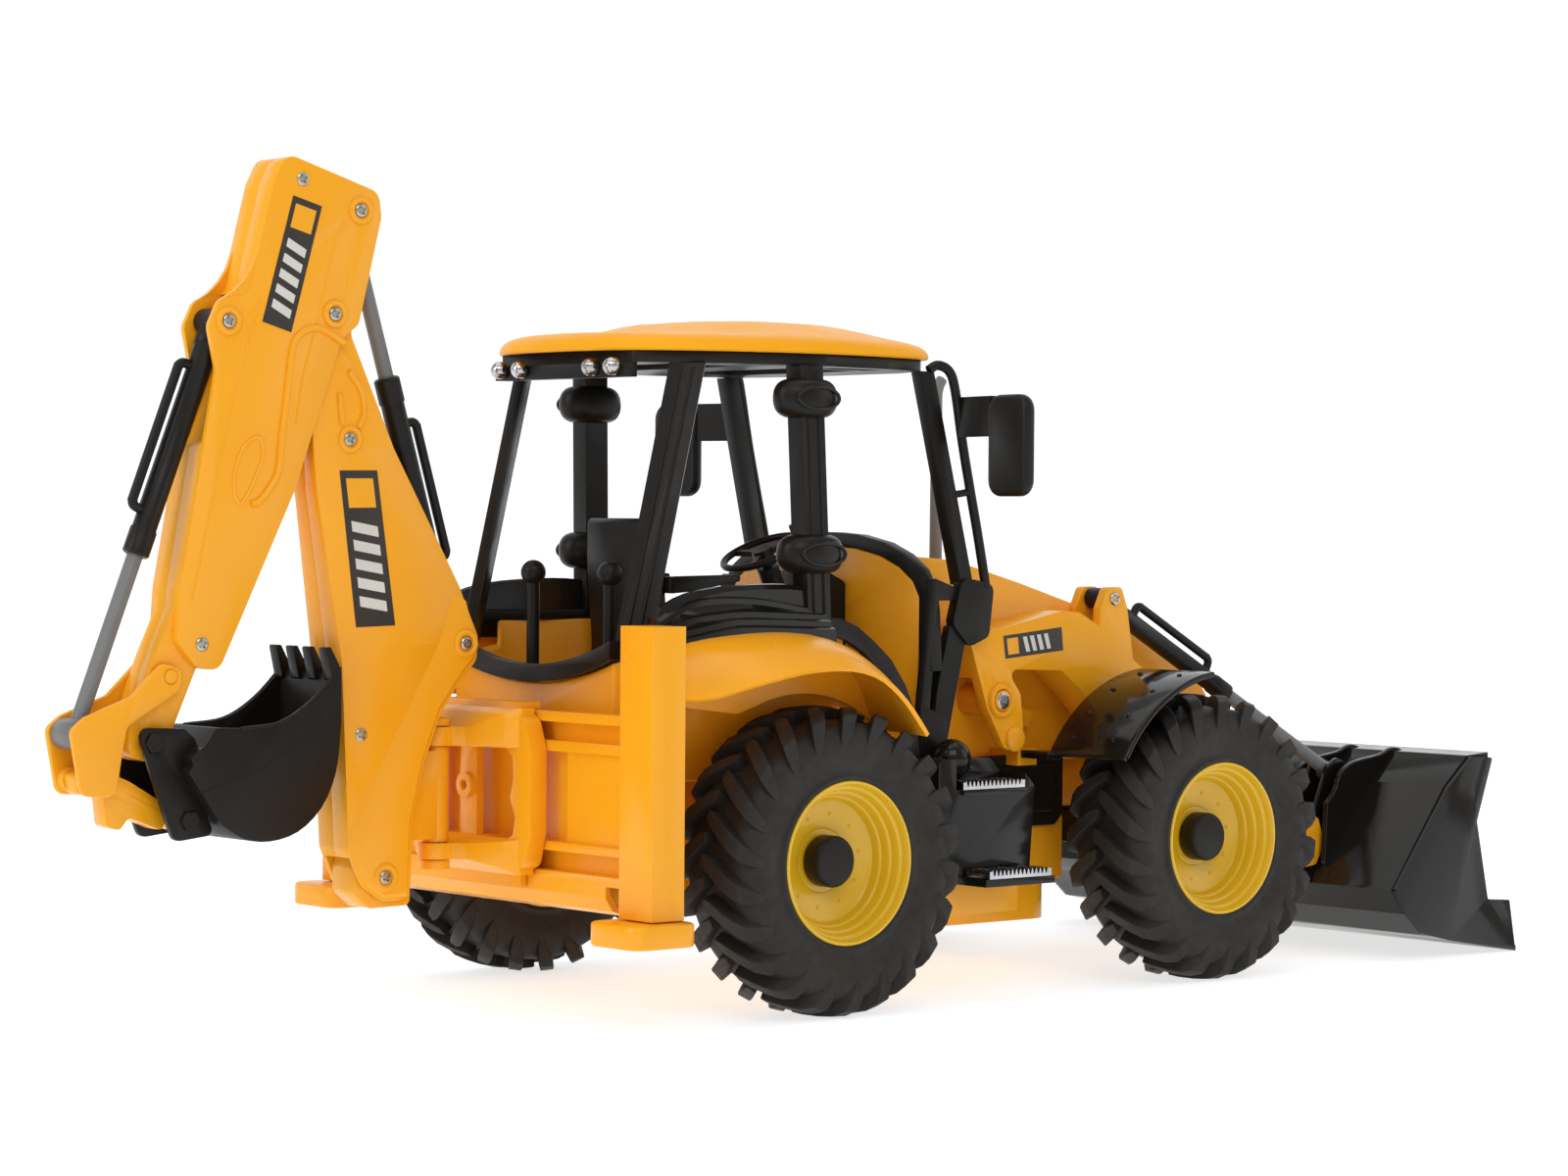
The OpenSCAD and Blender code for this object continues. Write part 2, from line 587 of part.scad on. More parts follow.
// An arm of the yoke: its plan narrows to the post, and its [x, z] side tapers
module yoke_arm(side) intersection() {
    translate([0, 0, 30]) linear_extrude(70) polygon(rounded(mirrored([[carriage_back, 24], [-71.6, 24],
        [-74.6, 20], [-79.2, 8], [-81.4, 4.9], [slew_x, 4.9]]), 1));
    plate(side, -30, 30);
}

module kingpost_carriage() color(yellow) at_origin() difference() {
    union() {
        translate([-72, 0, 0]) rotate([90, 0, 90]) linear_extrude(carriage_back + 72) difference() {
            polygon(rounded(yoke, 3));
            polygon(rounded(yoke_hole, 1.5));
        }
        yoke_arm([[carriage_back, 76], [-90, 76], [-90, 81.4], [-78.8, 81.4], [-75, 85.4], [-72, 87],
            [carriage_back, 87]]);
        yoke_arm([[carriage_back, 40], [-72, 40], [-75, 42], [-78.8, 43.8], [-90, 43.8], [-90, 48.4], [-78.8, 48.4],
            [-72, 50], [carriage_back, 50]]);
        translate([slew_x, 0, 76]) cylinder(r = 4.9, h = 5.4);
        translate([slew_x, 0, 43.8]) cylinder(r = 4.9, h = 4.6);
        // Post with the clamp screw's boss
        block([-68.8, 1, 49], [carriage_back, 9, 77]);
        translate([-70.6, 5, 64]) rotate([0, 90, 0]) cylinder(r = 3.6, h = 3);
        // Lips that hook over and under the frame's rails
        block([-68.6, -20, 86.8], [-62, 20, 88.6]);
        block([-68.6, -20, 36.4], [carriage_back, 20, 41]);
    }
    translate([slew_x, 0, 30]) cylinder(r = 2.6 + run, h = 70);
    translate([-75, 5, 64]) rotate([0, 90, 0]) cylinder(r = 1.5, h = 7);
}

module swing_post() color(yellow) at_origin() {
    translate([slew_x, 0, 42]) cylinder(r = 2.6, h = 42);
    translate([slew_x, 0, 48.4 + gap]) cylinder(r = 3.8, h = 76 - 48.4 - 2 * gap);
    translate([slew_x, 0, 81.4 + gap]) cylinder(r = 4.2, h = 2.2);
    translate([slew_x, 0, 41]) cylinder(r = 4.2, h = 2.8 - gap);
    difference() {
        union() {
            plate(rounded([[slew_x, 49.6], [slew_x, 75], [-96, 74], [-101, 66], [-110, 56], [-100, 49.6]], 2),
                -3.4, 3.4);
            plate(rounded([[-96.4, 31.6], [-96.4, 56], [-103, 62], [-112, 52], [-115.4, 43], [-115.4, 36],
                [-110, 31.4]], 2), -5.3, 5.3);
        }
        pin(boom_foot, 2 + run, -8, 8);
    }
}

// Outer and inner outlines of the boom as [x, z]
boom_outer = [[-97.7, 33.4], [-96.9, 55.6], [-93, 71.6], [-87.2, 86], [-79.3, 96.4], [-75.2, 100],
    [-74.6, 107], [-81, 121.7], [-102.6, 160.3], [-117, 191], [-116.6, 200], [-122, 204.6], [-129, 203.4],
    [-132, 197], [-128.6, 148], [-121, 98.9], [-119.6, 66], [-118.6, 48.5], [-114, 38], [-107, 33.4]];
boom_cavity = [[-80, 20], [-80, 86], [-72, 94], [-70, 110], [-99, 157], [-104, 157], [-116.4, 188],
    [-129, 188], [-127, 148], [-119.4, 98.9], [-118, 66], [-117, 46], [-125, 42], [-125, 20]];

// Half of the boom's width at its head and at its foot, seen from behind
module boom_taper(trim) translate([-150, 0, 0]) rotate([90, 0, 90]) linear_extrude(100) polygon([
    [0, 20], [boom_half_w - trim, 20], [boom_half_w - trim, 105], [5.2 - trim, 160], [5.2 - trim, 215],
    [0, 215]]);

module boom_shell() difference() {
    intersection() {
        plate(rounded(boom_outer, 4), 0, 10);
        boom_taper(0);
    }
    intersection() {
        plate(boom_cavity, -1, 10);
        translate([0, -0.01, 0]) boom_taper(wall);
    }
    pin(boom_foot, 2, -1, 10);
    pin(boom_head, 2 + run, -1, 10);
    pin(boom_ram_base, 2, -1, 10);
}

module boom_shell_left() color(yellow) at_origin() boom_shell();

module boom_shell_right() color(yellow) at_origin() mirror([0, 1, 0]) boom_shell();

// Pins and screws that hold the two boom shells
module boom_screws() color(steel) at_origin() {
    pin(boom_foot, 1.98, -boom_half_w - 0.5, boom_half_w + 0.5);
    pin(boom_ram_base, 1.98, -boom_half_w - 0.5, boom_half_w + 0.5);
    pin_pair([-114.6, 80.2], 1.9, boom_half_w, boom_half_w + 0.6);
    pin_pair([-117.3, 162.3], 1.9, 5.2, 5.75);
}

dipper_outer = [[-139.9, 240], [-144, 232], [-152, 201], [-161, 199.6], [-164.6, 192], [-162, 180],
    [-173, 121.2], [-174, 107], [-168, 100], [-160.9, 98.7], [-136.8, 147.8], [-121.6, 190], [-116, 194],
    [-108.6, 224], [-109.4, 231]];
dipper_nose = [[-162, 118], [-166.5, 100], [-176.4, 78], [-181, 74.6], [-187.4, 76.6], [-187.4, 83],
    [-179, 104], [-172.4, 118]];
dipper_cavity = [[-138, 237.8], [-142, 230], [-148.4, 199], [-150.6, 187.6], [-156.6, 172.6], [-161.4, 161],
    [-171.4, 121.2], [-150, 121.2], [-139, 158], [-120, 158], [-90, 200], [-90, 224], [-111, 229.4]];

module dipper_shell() difference() {
    union() {
        plate(rounded(dipper_outer, 4), 0, dipper_half_w);
        plate(rounded(dipper_nose, 3), 0, 5);
    }
    plate(dipper_cavity, -1, dipper_half_w - 1.7);
    // Room for the ram's knuckle behind the ears
    plate([[-150.4, 200.6], [-170, 206], [-176, 165], [-168, 157.6], [-163.2, 161.6], [-158.4, 173.2],
        [-152.4, 188]], -1, dipper_half_w - 1.7);
    plate([[-150, 90], [-163, 98.4], [-169.8, 99.8], [-173.4, 104.8], [-182, 106], [-190, 96], [-190, 60],
        [-150, 60]], 5, 10);
    pin(boom_head, 2, -1, 10);
    pin(dipper_lever, 2, 5.5, 10);
    pin(dipper_ear, 2, -1, 10);
    pin(crank_pin, 2 + run, -1, 10);
    pin(bucket_pin, 2 + run, -1, 10);
}

module dipper_shell_left() color(yellow) at_origin() dipper_shell();

module dipper_shell_right() color(yellow) at_origin() mirror([0, 1, 0]) dipper_shell();

// Pins and screws of the dipper
module dipper_screws() color(steel) at_origin() {
    pin(boom_head, 1.98, -dipper_half_w - 0.5, dipper_half_w + 0.5);
    pin(dipper_ear, 1.98, -dipper_half_w - 0.5, dipper_half_w + 0.5);
    pin_pair(dipper_lever, 1.98, dipper_half_w - 1.6, dipper_half_w + 0.5);
    pin_pair([-134.7, 233.2], 1.9, dipper_half_w, dipper_half_w + 0.5);
    pin_pair([-166.2, 106.1], 1.9, dipper_half_w, dipper_half_w + 0.5);
}

// A ram's barrel along +X from its eye: body, open bore and the hose loop beside it
module ram_barrel(r, length, eye_w, loop_from, loop_to, loop_side) {
    difference() {
        union() {
            pin([0, 0], r, -eye_w, eye_w);
            rotate([0, 90, 0]) cylinder(r = r, h = length);
            for (x = [loop_from, loop_to])
                block([x - 0.9, -1, min(0, loop_side * 6.8)], [x + 0.9, 1, max(0, loop_side * 6.8)]);
            block([loop_from - 0.9, -1, loop_side * 6 - 0.9], [loop_to + 0.9, 1, loop_side * 6 + 0.9]);
        }
        pin([0, 0], 2 + run, -8, 8);
        translate([r + 2, 0, 0]) rotate([0, 90, 0]) cylinder(r = rod_d / 2 + run, h = length);
    }
}

// A ram's rod, drawn back from its eye towards the barrel
module ram_rod(length, eye_r, eye_w, hole) difference() {
    union() {
        pin([0, 0], eye_r, -eye_w, eye_w);
        rotate([0, -90, 0]) cylinder(r = rod_d / 2, h = length);
    }
    if (hole) pin([0, 0], 2 + run, -8, 8);
}

module dipper_ram_barrel() color(black) at_origin() along(boom_ram_base, dipper_lever)
    ram_barrel(barrel_d / 2, 78, 5.3, 24, 64, -1);

module dipper_ram_rod() color(grey) at_origin()
    translate([dipper_lever.x, 0, dipper_lever.y]) rotate([0, -ram_angle(boom_ram_base, dipper_lever), 0])
        ram_rod(62, 3.6, 5, false);

module bucket_ram_barrel() color(black) at_origin() along(dipper_ear, crank_rod)
    ram_barrel(barrel_d / 2, 68, 5.2, 14, 56, -1);

module bucket_ram_rod() color(grey) at_origin()
    translate([crank_rod.x, 0, crank_rod.y]) rotate([0, -ram_angle(dipper_ear, crank_rod), 0])
        ram_rod(62, 4.2, 5, false);

function ram_angle(a, b) = atan2(b.y - a.y, b.x - a.x);

module bucket_crank() color(yellow) at_origin() {
    side = [[-206.4, 84], [-202, 87.4], [-188, 92.4], [-178.4, 101.4], [-172, 99.6], [-172.4, 94],
        [-189, 84.4], [-190.4, 78], [-192.4, 65.8], [-203, 66.4]];
    difference() {
        plate_pair(rounded(side, 3), dipper_half_w - 1.7, dipper_half_w);
        pin(crank_pin, 2, -9, 9);
    }
    pin(crank_pin, 1.98, -dipper_half_w - 0.3, dipper_half_w + 0.3);
    pin_pair(crank_tail, 3.2, 3.4, dipper_half_w - 1.7);
    pin(crank_tail, 1.9, -3.4, 3.4);
}

module bucket_link() color(yellow) at_origin() difference() {
    union() {
        plate(rounded([[-202.6, 72], [-196.4, 74], [-186, 69.6], [-173, 62], [-176, 56],
            [-186, 60], [-189, 56.6], [-193, 58], [-194, 66], [-201.6, 66.8]], 1.5), -3, 3);
        pin(bucket_tail, 3, -3, 3);
    }
    pin(crank_tail, 1.9 + run, -4, 4);
    pin(bucket_tail, 1.9 + run, -4, 4);
}

dig_outer = concat([[-166, 83.9], [-174.7, 72.1], [-170.2, 66.2]],
    through([[-164, 57.6], [-157, 53.6], [-149, 52.6], [-140, 54.8], [-132.4, 61], [-127.6, 70.8], [-126, 84]]),
    through([[-126, 99.6], [-135.5, 90.7], [-145.7, 85], [-158.5, 83.6]]));
dig_inner = concat([[-150, 110], [-163.6, 84.6], [-170.4, 72.6], [-166.6, 66.4]],
    through([[-161.4, 59.6], [-155.4, 55.8], [-149, 54.8], [-141.2, 57], [-134.4, 62.4], [-129.7, 71.6], [-128.2, 84]]),
    [[-128, 98], [-127, 110]]);

module digging_bucket() color(black) at_origin() {
    difference() {
        plate(dig_outer, -dig_half_w, dig_half_w);
        plate(dig_inner, -dig_half_w + 1.4, dig_half_w - 1.4);
    }
    for (y = [-12.4, -4.1, 4.1, 12.4])
        plate(rounded([[-126.2, 95], [-126.6, 100], [-129.4, 105], [-131, 105], [-129, 96]], 0.6), y - 1.9, y + 1.9);
    difference() {
        plate_pair(rounded([[-187.4, 84.4], [-173, 83.6], [-168.6, 79.8], [-174, 72], [-166, 60], [-163.4, 54.8],
            [-176, 53.4], [-179.4, 62]], 2.5), dipper_half_w + gap + 0.3, dipper_half_w + gap + 2.2);
        pin(bucket_pin, 2, -12, 12);
    }
    pin(bucket_pin, 1.98, -10.4, 10.4);
    pin_pair(bucket_tail, 1.9, 3.4, 10.4);
    plate_pair([[-174, 76], [-170, 79], [-164, 70], [-166, 60], [-170.2, 66.2]], dipper_half_w + gap + 0.3, dig_half_w);
}

// ---- loader ----

arm_top = [[80.6, 104.7], [84, 107.2], [94.6, 108.4], [120, 113.4], [127, 112.8], [136, 108.4], [152, 97],
    [226, 50], [238, 44], [241, 36], [237, 29], [228, 28], [222, 34], [150, 70], [129, 88], [119.4, 95],
    [96, 95.8], [102, 88], [103.6, 74], [99.5, 70.4], [95, 72], [88, 84]];

module loader_arm() color(yellow) at_origin() {
    inner = arm_outer - arm_w;
    difference() {
        union() {
            plate_pair(rounded(arm_top, 2), inner, arm_outer);
            // Ears that the tilt rams hang between
            both_sides() for (y = [inner, arm_outer - 3.2])
                plate(rounded([[135.4, 95], [136.2, 114], [139.4, 120.6], [145.4, 120.6], [148, 114], [151, 96]], 2),
                    y, y + 3.2);
            pin([218, 42], 3.6, -inner, inner);
        }
        // Slots for the rams and for the bucket's lugs
        both_sides() plate([[137, 99], [134, 130], [170, 130], [170, 87]], inner + 3.2, arm_outer - 3.2);
        both_sides() plate([[226.4, 60], [226.4, 20], [250, 20], [250, 60]], inner + 2.2, arm_outer - 2.2);
        pin_pair(arm_pin, 2 + run, inner - 1, arm_outer + 1);
        pin_pair(tilt_base, 2, inner - 1, arm_outer + 1);
        pin_pair(arm_bucket, 2, inner - 1, arm_outer + 1);
        // Inside of the lever end, behind its outer plate
        both_sides() plate([[70, 60], [70, 93], [92, 93.4], [96.2, 95.4], [110, 95.4], [110, 60]], inner - 1, arm_outer - 3.6);
    }
    // Bosses at the pivots
    both_sides() difference() {
        pin(arm_pin, 5, inner, arm_outer);
        pin(arm_pin, 2 + run, inner - 1, arm_outer + 1);
    }
    pin_pair([99.5, 74.4], 3.7, arm_outer - 3.6, arm_outer + 0.8);
    pin_pair(tilt_base, 1.98, inner - 0.3, arm_outer + 0.4);
    pin_pair(arm_bucket, 1.98, inner - 0.3, arm_outer + 0.4);
}

shovel_outer = [[234.4, 23.2], [240, 13], [248, 4], [262, 0], [294.7, 0], [294.7, 1.6], [264, 2.2], [249.6, 6],
    [242, 14.4], [237, 24], [261.6, 54], [272.2, 62.6], [282, 64.5], [282, 66.2], [271, 65.4], [260, 56]];
shovel_side = [[234.8, 23.2], [240, 13], [248, 4], [262, 0], [295.4, 0], [292, 17], [281, 17.4], [275, 43.8],
    [282.6, 64.5], [272, 65], [260.4, 55.4]];

module loader_bucket() color(black) at_origin() {
    plate(shovel_outer, -bucket_half_w + 1.5, bucket_half_w - 1.5);
    plate_pair(rounded(shovel_side, 0.8), bucket_half_w - 1.5, bucket_half_w);
    block([288, -bucket_half_w, 0], [front_end, bucket_half_w, 1.8]);
    // Lugs for the arms and the tilt rams
    both_sides() difference() {
        plate(rounded([[229, 40], [229, 33], [233, 30], [240, 26], [260, 56], [257.6, 60], [250, 63.6],
            [245.4, 61], [237, 42]], 2), tilt_y - 4.4, tilt_y + 4.4);
        pin(arm_bucket, 2 + run, 30, 50);
        plate([[241.5, 40], [234, 47], [236, 70], [262, 70], [262, 60]], tilt_y - 2.9, tilt_y + 2.9);
    }
}

module tilt_ram_barrels() color(black) at_origin() both_sides() translate([0, tilt_y, 0])
    along(tilt_base, tilt_bucket) ram_barrel(3.3, 66, arm_w / 2 - 3.5, 16, 54, 1);

module tilt_ram_rods() color(grey) at_origin() both_sides()
    translate([tilt_bucket.x, tilt_y, tilt_bucket.y]) rotate([0, -ram_angle(tilt_base, tilt_bucket), 0])
        ram_rod(85, 3, 2.4, false);

// ---- the part ----

chassis_frame();
rear_frame();
cab_tub();
cab_consoles();
cab_frame();
cowl();
grab_rails();
mirrors();
roof();
roof_liner();
work_lights();
seat();
steering_column();
steering_wheel();
control_lever(1);  // control_lever_left
control_lever(-1);  // control_lever_right
bonnet();
front_grille();
exhaust();
rear_fenders();
front_fenders();
step_boxes();
step_treads();
rear_axle();
rear_hub_caps();
front_axle();
tyre(0, wheel_y);  // tyre_rear_left
tyre(0, -wheel_y);  // tyre_rear_right
tyre(wheelbase, wheel_y);  // tyre_front_left
tyre(wheelbase, -wheel_y);  // tyre_front_right
rim(0, wheel_y);  // rim_rear_left
rim(0, -wheel_y);  // rim_rear_right
rim(wheelbase, wheel_y);  // rim_front_left
rim(wheelbase, -wheel_y);  // rim_front_right
knuckle(1);  // knuckle_left
knuckle(-1);  // knuckle_right
front_hub_cap(1);  // front_hub_cap_left
front_hub_cap(-1);  // front_hub_cap_right
stabiliser(1);  // stabiliser_left
stabiliser(-1);  // stabiliser_right
kingpost_carriage();
swing_post();
boom_shell_left();
boom_shell_right();
boom_screws();
dipper_shell_left();
dipper_shell_right();
dipper_screws();
dipper_ram_barrel();
dipper_ram_rod();
bucket_ram_barrel();
bucket_ram_rod();
bucket_crank();
bucket_link();
digging_bucket();
loader_towers();
loader_arm();
loader_bucket();
tilt_ram_barrels();
tilt_ram_rods();
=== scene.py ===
"""Looks of the toy backhoe loader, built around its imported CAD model."""

import json
import math

import bmesh
import bpy
from mathutils import Matrix, Vector


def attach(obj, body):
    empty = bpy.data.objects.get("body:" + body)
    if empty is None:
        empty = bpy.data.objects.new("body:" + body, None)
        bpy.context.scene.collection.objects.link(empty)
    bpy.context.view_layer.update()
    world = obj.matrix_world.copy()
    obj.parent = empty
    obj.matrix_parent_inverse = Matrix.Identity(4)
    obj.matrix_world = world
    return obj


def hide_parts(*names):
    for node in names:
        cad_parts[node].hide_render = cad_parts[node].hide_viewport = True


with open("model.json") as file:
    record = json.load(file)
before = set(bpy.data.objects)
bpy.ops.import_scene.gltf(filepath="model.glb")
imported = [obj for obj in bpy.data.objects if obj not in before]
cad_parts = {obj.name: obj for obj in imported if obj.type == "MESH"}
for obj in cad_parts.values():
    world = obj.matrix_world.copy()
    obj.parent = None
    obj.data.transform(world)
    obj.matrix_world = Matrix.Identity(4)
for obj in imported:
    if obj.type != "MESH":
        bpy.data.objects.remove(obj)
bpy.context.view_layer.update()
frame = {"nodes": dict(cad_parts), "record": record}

MM = 0.001
MID_X = 44.7          # mm from the rear axle to the part's origin
WHEELBASE = 153.0
WHEEL_Y = 70.5
AXLE_Z = 44.0
DIPPER_Y = 7.2        # half width of the dipper
ARM_Y = 46.0          # outer face of the loader arms
TILT_Y = 39.0         # middle of each tilt ram
# Pivots of the arms and rams, named as in the CAD source, as (x, z) in mm
BOOM_FOOT = (-106.7, 40.2)
BOOM_RAM_BASE = (-79.5, 105.1)
DIPPER_LEVER = (-115.4, 225.7)
DIPPER_EAR = (-158.2, 193.5)
CRANK_ROD = (-201.2, 82.6)
ARM_PIVOT = (93.6, 86.3)
TILT_BASE = (142.4, 117)
TILT_BUCKET = (250, 59)


def at(x, y, z):
    """A point given in mm from the rear axle's centre line, in the part's frame in metres."""
    return Vector(((x - MID_X) * MM, y * MM, z * MM))


def point(bm, x, y, z):
    """A new vertex at a point given in mm."""
    return bm.verts.new(at(x, y, z))


# ---------------------------------------------------------------- materials

def noise(nt, scale, detail=3.0, rough=0.5):
    """A noise texture in the object's own space."""
    coord = nt.nodes.new("ShaderNodeTexCoord")
    n = nt.nodes.new("ShaderNodeTexNoise")
    n.inputs["Scale"].default_value = scale
    n.inputs["Detail"].default_value = detail
    n.inputs["Roughness"].default_value = rough
    nt.links.new(coord.outputs["Object"], n.inputs["Vector"])
    return n


def ramp(nt, source, stops):
    """A colour ramp over a value, from (position, colour) stops."""
    r = nt.nodes.new("ShaderNodeValToRGB")
    while len(r.color_ramp.elements) < len(stops):
        r.color_ramp.elements.new(0.5)
    for e, (p, c) in zip(r.color_ramp.elements, stops):
        e.position = p
        e.color = (*c, 1.0)
    nt.links.new(source, r.inputs["Fac"])
    return r


def plastic(name, low, high, rough=(0.2, 0.3), scale=18.0, grain=900.0, bump=0.02, **shader):
    """Moulded material: two close colours in soft clouds, a fine grain and uneven gloss."""
    m = bpy.data.materials.new(name)
    m.use_nodes = True
    nt = m.node_tree
    p = nt.nodes["Principled BSDF"]
    clouds = noise(nt, scale)
    nt.links.new(ramp(nt, clouds.outputs["Fac"], [(0.3, low), (0.7, high)]).outputs["Color"],
                 p.inputs["Base Color"])
    streaks = noise(nt, scale * 6)
    spread = ramp(nt, streaks.outputs["Fac"], [(0.3, (rough[0],) * 3), (0.75, (rough[1],) * 3)])
    nt.links.new(spread.outputs["Color"], p.inputs["Roughness"])
    fine = noise(nt, grain, 2.0)
    b = nt.nodes.new("ShaderNodeBump")
    b.inputs["Strength"].default_value = bump
    b.inputs["Distance"].default_value = 0.0004
    nt.links.new(fine.outputs["Fac"], b.inputs["Height"])
    nt.links.new(b.outputs["Normal"], p.inputs["Normal"])
    for key, value in shader.items():
        p.inputs[key.replace("_", " ")].default_value = value
    return m


YELLOW = plastic("yellow_plastic", (0.90, 0.375, 0.010), (0.95, 0.41, 0.013), (0.2, 0.3), bump=0.05,
                 Specular_IOR_Level=0.34, Subsurface_Weight=0.05, Subsurface_Radius=(0.5, 0.25, 0.05),
                 Subsurface_Scale=0.002)
ROOF = plastic("roof_plastic", (0.90, 0.375, 0.010), (0.95, 0.41, 0.013), (0.3, 0.4), bump=0.05,
               Specular_IOR_Level=0.1, Subsurface_Weight=0.05, Subsurface_Radius=(0.5, 0.25, 0.05),
               Subsurface_Scale=0.002)
BLACK = plastic("black_plastic", (0.008, 0.0065, 0.005), (0.012, 0.010, 0.008), (0.32, 0.45), bump=0.1,
                Specular_IOR_Level=0.22)
GLOSS = plastic("black_gloss", (0.007, 0.006, 0.005), (0.011, 0.009, 0.007), (0.1, 0.18), bump=0.03,
                Specular_IOR_Level=0.28)
RIM = plastic("rim_plastic", (0.70, 0.42, 0.012), (0.76, 0.46, 0.018), (0.2, 0.3), bump=0.05,
              Subsurface_Weight=0.05, Subsurface_Radius=(0.5, 0.3, 0.05), Subsurface_Scale=0.002)
RUBBER = plastic("tyre_rubber", (0.013, 0.0105, 0.0085), (0.024, 0.020, 0.016), (0.5, 0.7), 60.0, 1500.0,
                 0.25, Specular_IOR_Level=0.3)
GREY = plastic("grey_plastic", (0.14, 0.14, 0.135), (0.18, 0.18, 0.172), (0.35, 0.5), bump=0.1)
STEEL = plastic("steel", (0.40, 0.38, 0.33), (0.58, 0.56, 0.50), (0.2, 0.35), 90.0, bump=0.08, Metallic=1.0)
CHROME = plastic("chrome", (0.42, 0.42, 0.43), (0.60, 0.60, 0.61), (0.12, 0.26), 60.0, bump=0.03,
                 Metallic=1.0)
PANEL = plastic("label_dark", (0.022, 0.016, 0.012), (0.030, 0.022, 0.016), (0.25, 0.4), 40.0, bump=0.05)
MARK = plastic("label_light", (0.62, 0.60, 0.54), (0.70, 0.68, 0.62), (0.3, 0.45), 60.0, bump=0.05)
FINISH = {"yellow_plastic": YELLOW, "black_plastic": BLACK, "rim_plastic": RIM, "tyre_rubber": RUBBER,
          "grey_plastic": GREY, "steel": STEEL, "chrome": CHROME}
SLOT = {s["node"]: s["material_slot"] for s in frame["record"]["subparts"]}
BODY = {n: b for b, ns in frame["record"]["behaviour"]["bodies"].items() for n in ns}


# ---------------------------------------------------------------- mesh helpers

def add(name, bm, material, body, smooth=True, bevel=0.0, segments=2, limit=35):
    """Makes an object of a bmesh (in metres), and lets it ride on a body."""
    bmesh.ops.recalc_face_normals(bm, faces=bm.faces[:])
    me = bpy.data.meshes.new(name)
    bm.to_mesh(me)
    bm.free()
    me.materials.append(material)
    for p in me.polygons:
        p.use_smooth = smooth
    o = bpy.data.objects.new(name, me)
    bpy.context.scene.collection.objects.link(o)
    if bevel:
        mod = o.modifiers.new("edges", "BEVEL")
        mod.width = bevel * MM
        mod.segments = segments
        mod.limit_method = "ANGLE"
        mod.angle_limit = math.radians(limit)
        mod.harden_normals = True
        mod.use_clamp_overlap = True
    elif smooth:
        me.set_sharp_from_angle(angle=math.radians(limit))
    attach(o, body)
    return o


def soften(node, material, bevel=0.4, segments=2, limit=32, shape=None):
    """A CAD node's own shape with its moulded edges rounded, after an optional change of shape."""
    bm = bmesh.new()
    bm.from_mesh(frame["nodes"][node].data)
    bmesh.ops.remove_doubles(bm, verts=bm.verts[:], dist=2e-6)
    bmesh.ops.dissolve_limit(bm, angle_limit=math.radians(1.5), verts=bm.verts[:], edges=bm.edges[:])
    for v in bm.verts:
        if shape:
            v.co = shape(v.co)
    o = add(node + ".body", bm, material, BODY[node], bevel=bevel, segments=segments, limit=limit)
    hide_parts(node)
    return o


def lathe(profile, centre, side=1, steps=96):
    """A closed (radius, along-axis) profile turned about the y axis through centre, in mm."""
    bm = bmesh.new()
    rings = []
    for i in range(steps):
        a = 2 * math.pi * i / steps
        rings.append([bm.verts.new(at(centre[0] + r * math.cos(a), centre[1] + side * h,
                                      centre[2] + r * math.sin(a))) for r, h in profile])
    n = len(profile)
    for i in range(steps):
        p, q = rings[i], rings[(i + 1) % steps]
        for j in range(n):
            bm.faces.new((p[j], p[(j + 1) % n], q[(j + 1) % n], q[j]))
    bmesh.ops.remove_doubles(bm, verts=bm.verts[:], dist=1e-7)
    return bm


def spline(points, closed=False, cuts=6):
    """Catmull-Rom curve through points given in mm."""
    pts = [Vector(p) for p in points]
    n = len(pts)
    out = []
    for i in range(n if closed else n - 1):
        a, b = pts[i], pts[(i + 1) % n]
        before = pts[(i - 1) % n] if closed or i > 0 else a * 2 - b
        after = pts[(i + 2) % n] if closed or i + 2 < n else b * 2 - a
        for k in range(cuts):
            s = k / cuts
            out.append(0.5 * (2 * a + (b - before) * s + (2 * before - 5 * a + 4 * b - after) * s * s
                              + (3 * a - before - 3 * b + after) * s ** 3))
    if not closed:
        out.append(pts[-1])
    return out


def curve(table, x):
    """Smooth interpolation in a table of (x, value) pairs."""
    pts = spline([(a, b, 0) for a, b in table], cuts=8)
    for p, q in zip(pts, pts[1:]):
        if x <= q.x:
            s = (x - p.x) / (q.x - p.x) if q.x > p.x else 0.0
            return p.y + (q.y - p.y) * max(s, 0.0)
    return pts[-1].y


def join(bm, rings, closed=False, caps=True):
    """Faces between rings of vertices."""
    n = len(rings[0])
    pairs = list(zip(rings, rings[1:])) + ([(rings[-1], rings[0])] if closed else [])
    for p, q in pairs:
        for j in range(n):
            bm.faces.new((p[j], p[(j + 1) % n], q[(j + 1) % n], q[j]))
    if caps and not closed:
        bm.faces.new(rings[0])
        bm.faces.new(rings[-1])


def tube(bm, points, r, steps=12, closed=False, cuts=5, flat=1.0):
    """A round cord along a smooth curve through points in mm."""
    path = spline(points, closed, cuts)
    n = len(path)
    rings, up = [], None
    for i, p in enumerate(path):
        a = path[(i - 1) % n] if closed or i else path[0]
        b = path[(i + 1) % n] if closed or i < n - 1 else path[-1]
        d = (b - a).normalized()
        if up is None:
            up = d.cross(Vector((0, 1, 0)) if abs(d.y) < 0.9 else Vector((1, 0, 0))).normalized()
        side = d.cross(up).normalized()
        up = side.cross(d).normalized()
        ring = []
        for k in range(steps):
            t = 2 * math.pi * k / steps
            ring.append(bm.verts.new(at(*(p + up * (r * math.cos(t)) + side * (r * flat * math.sin(t))))))
        rings.append(ring)
    join(bm, rings, closed)


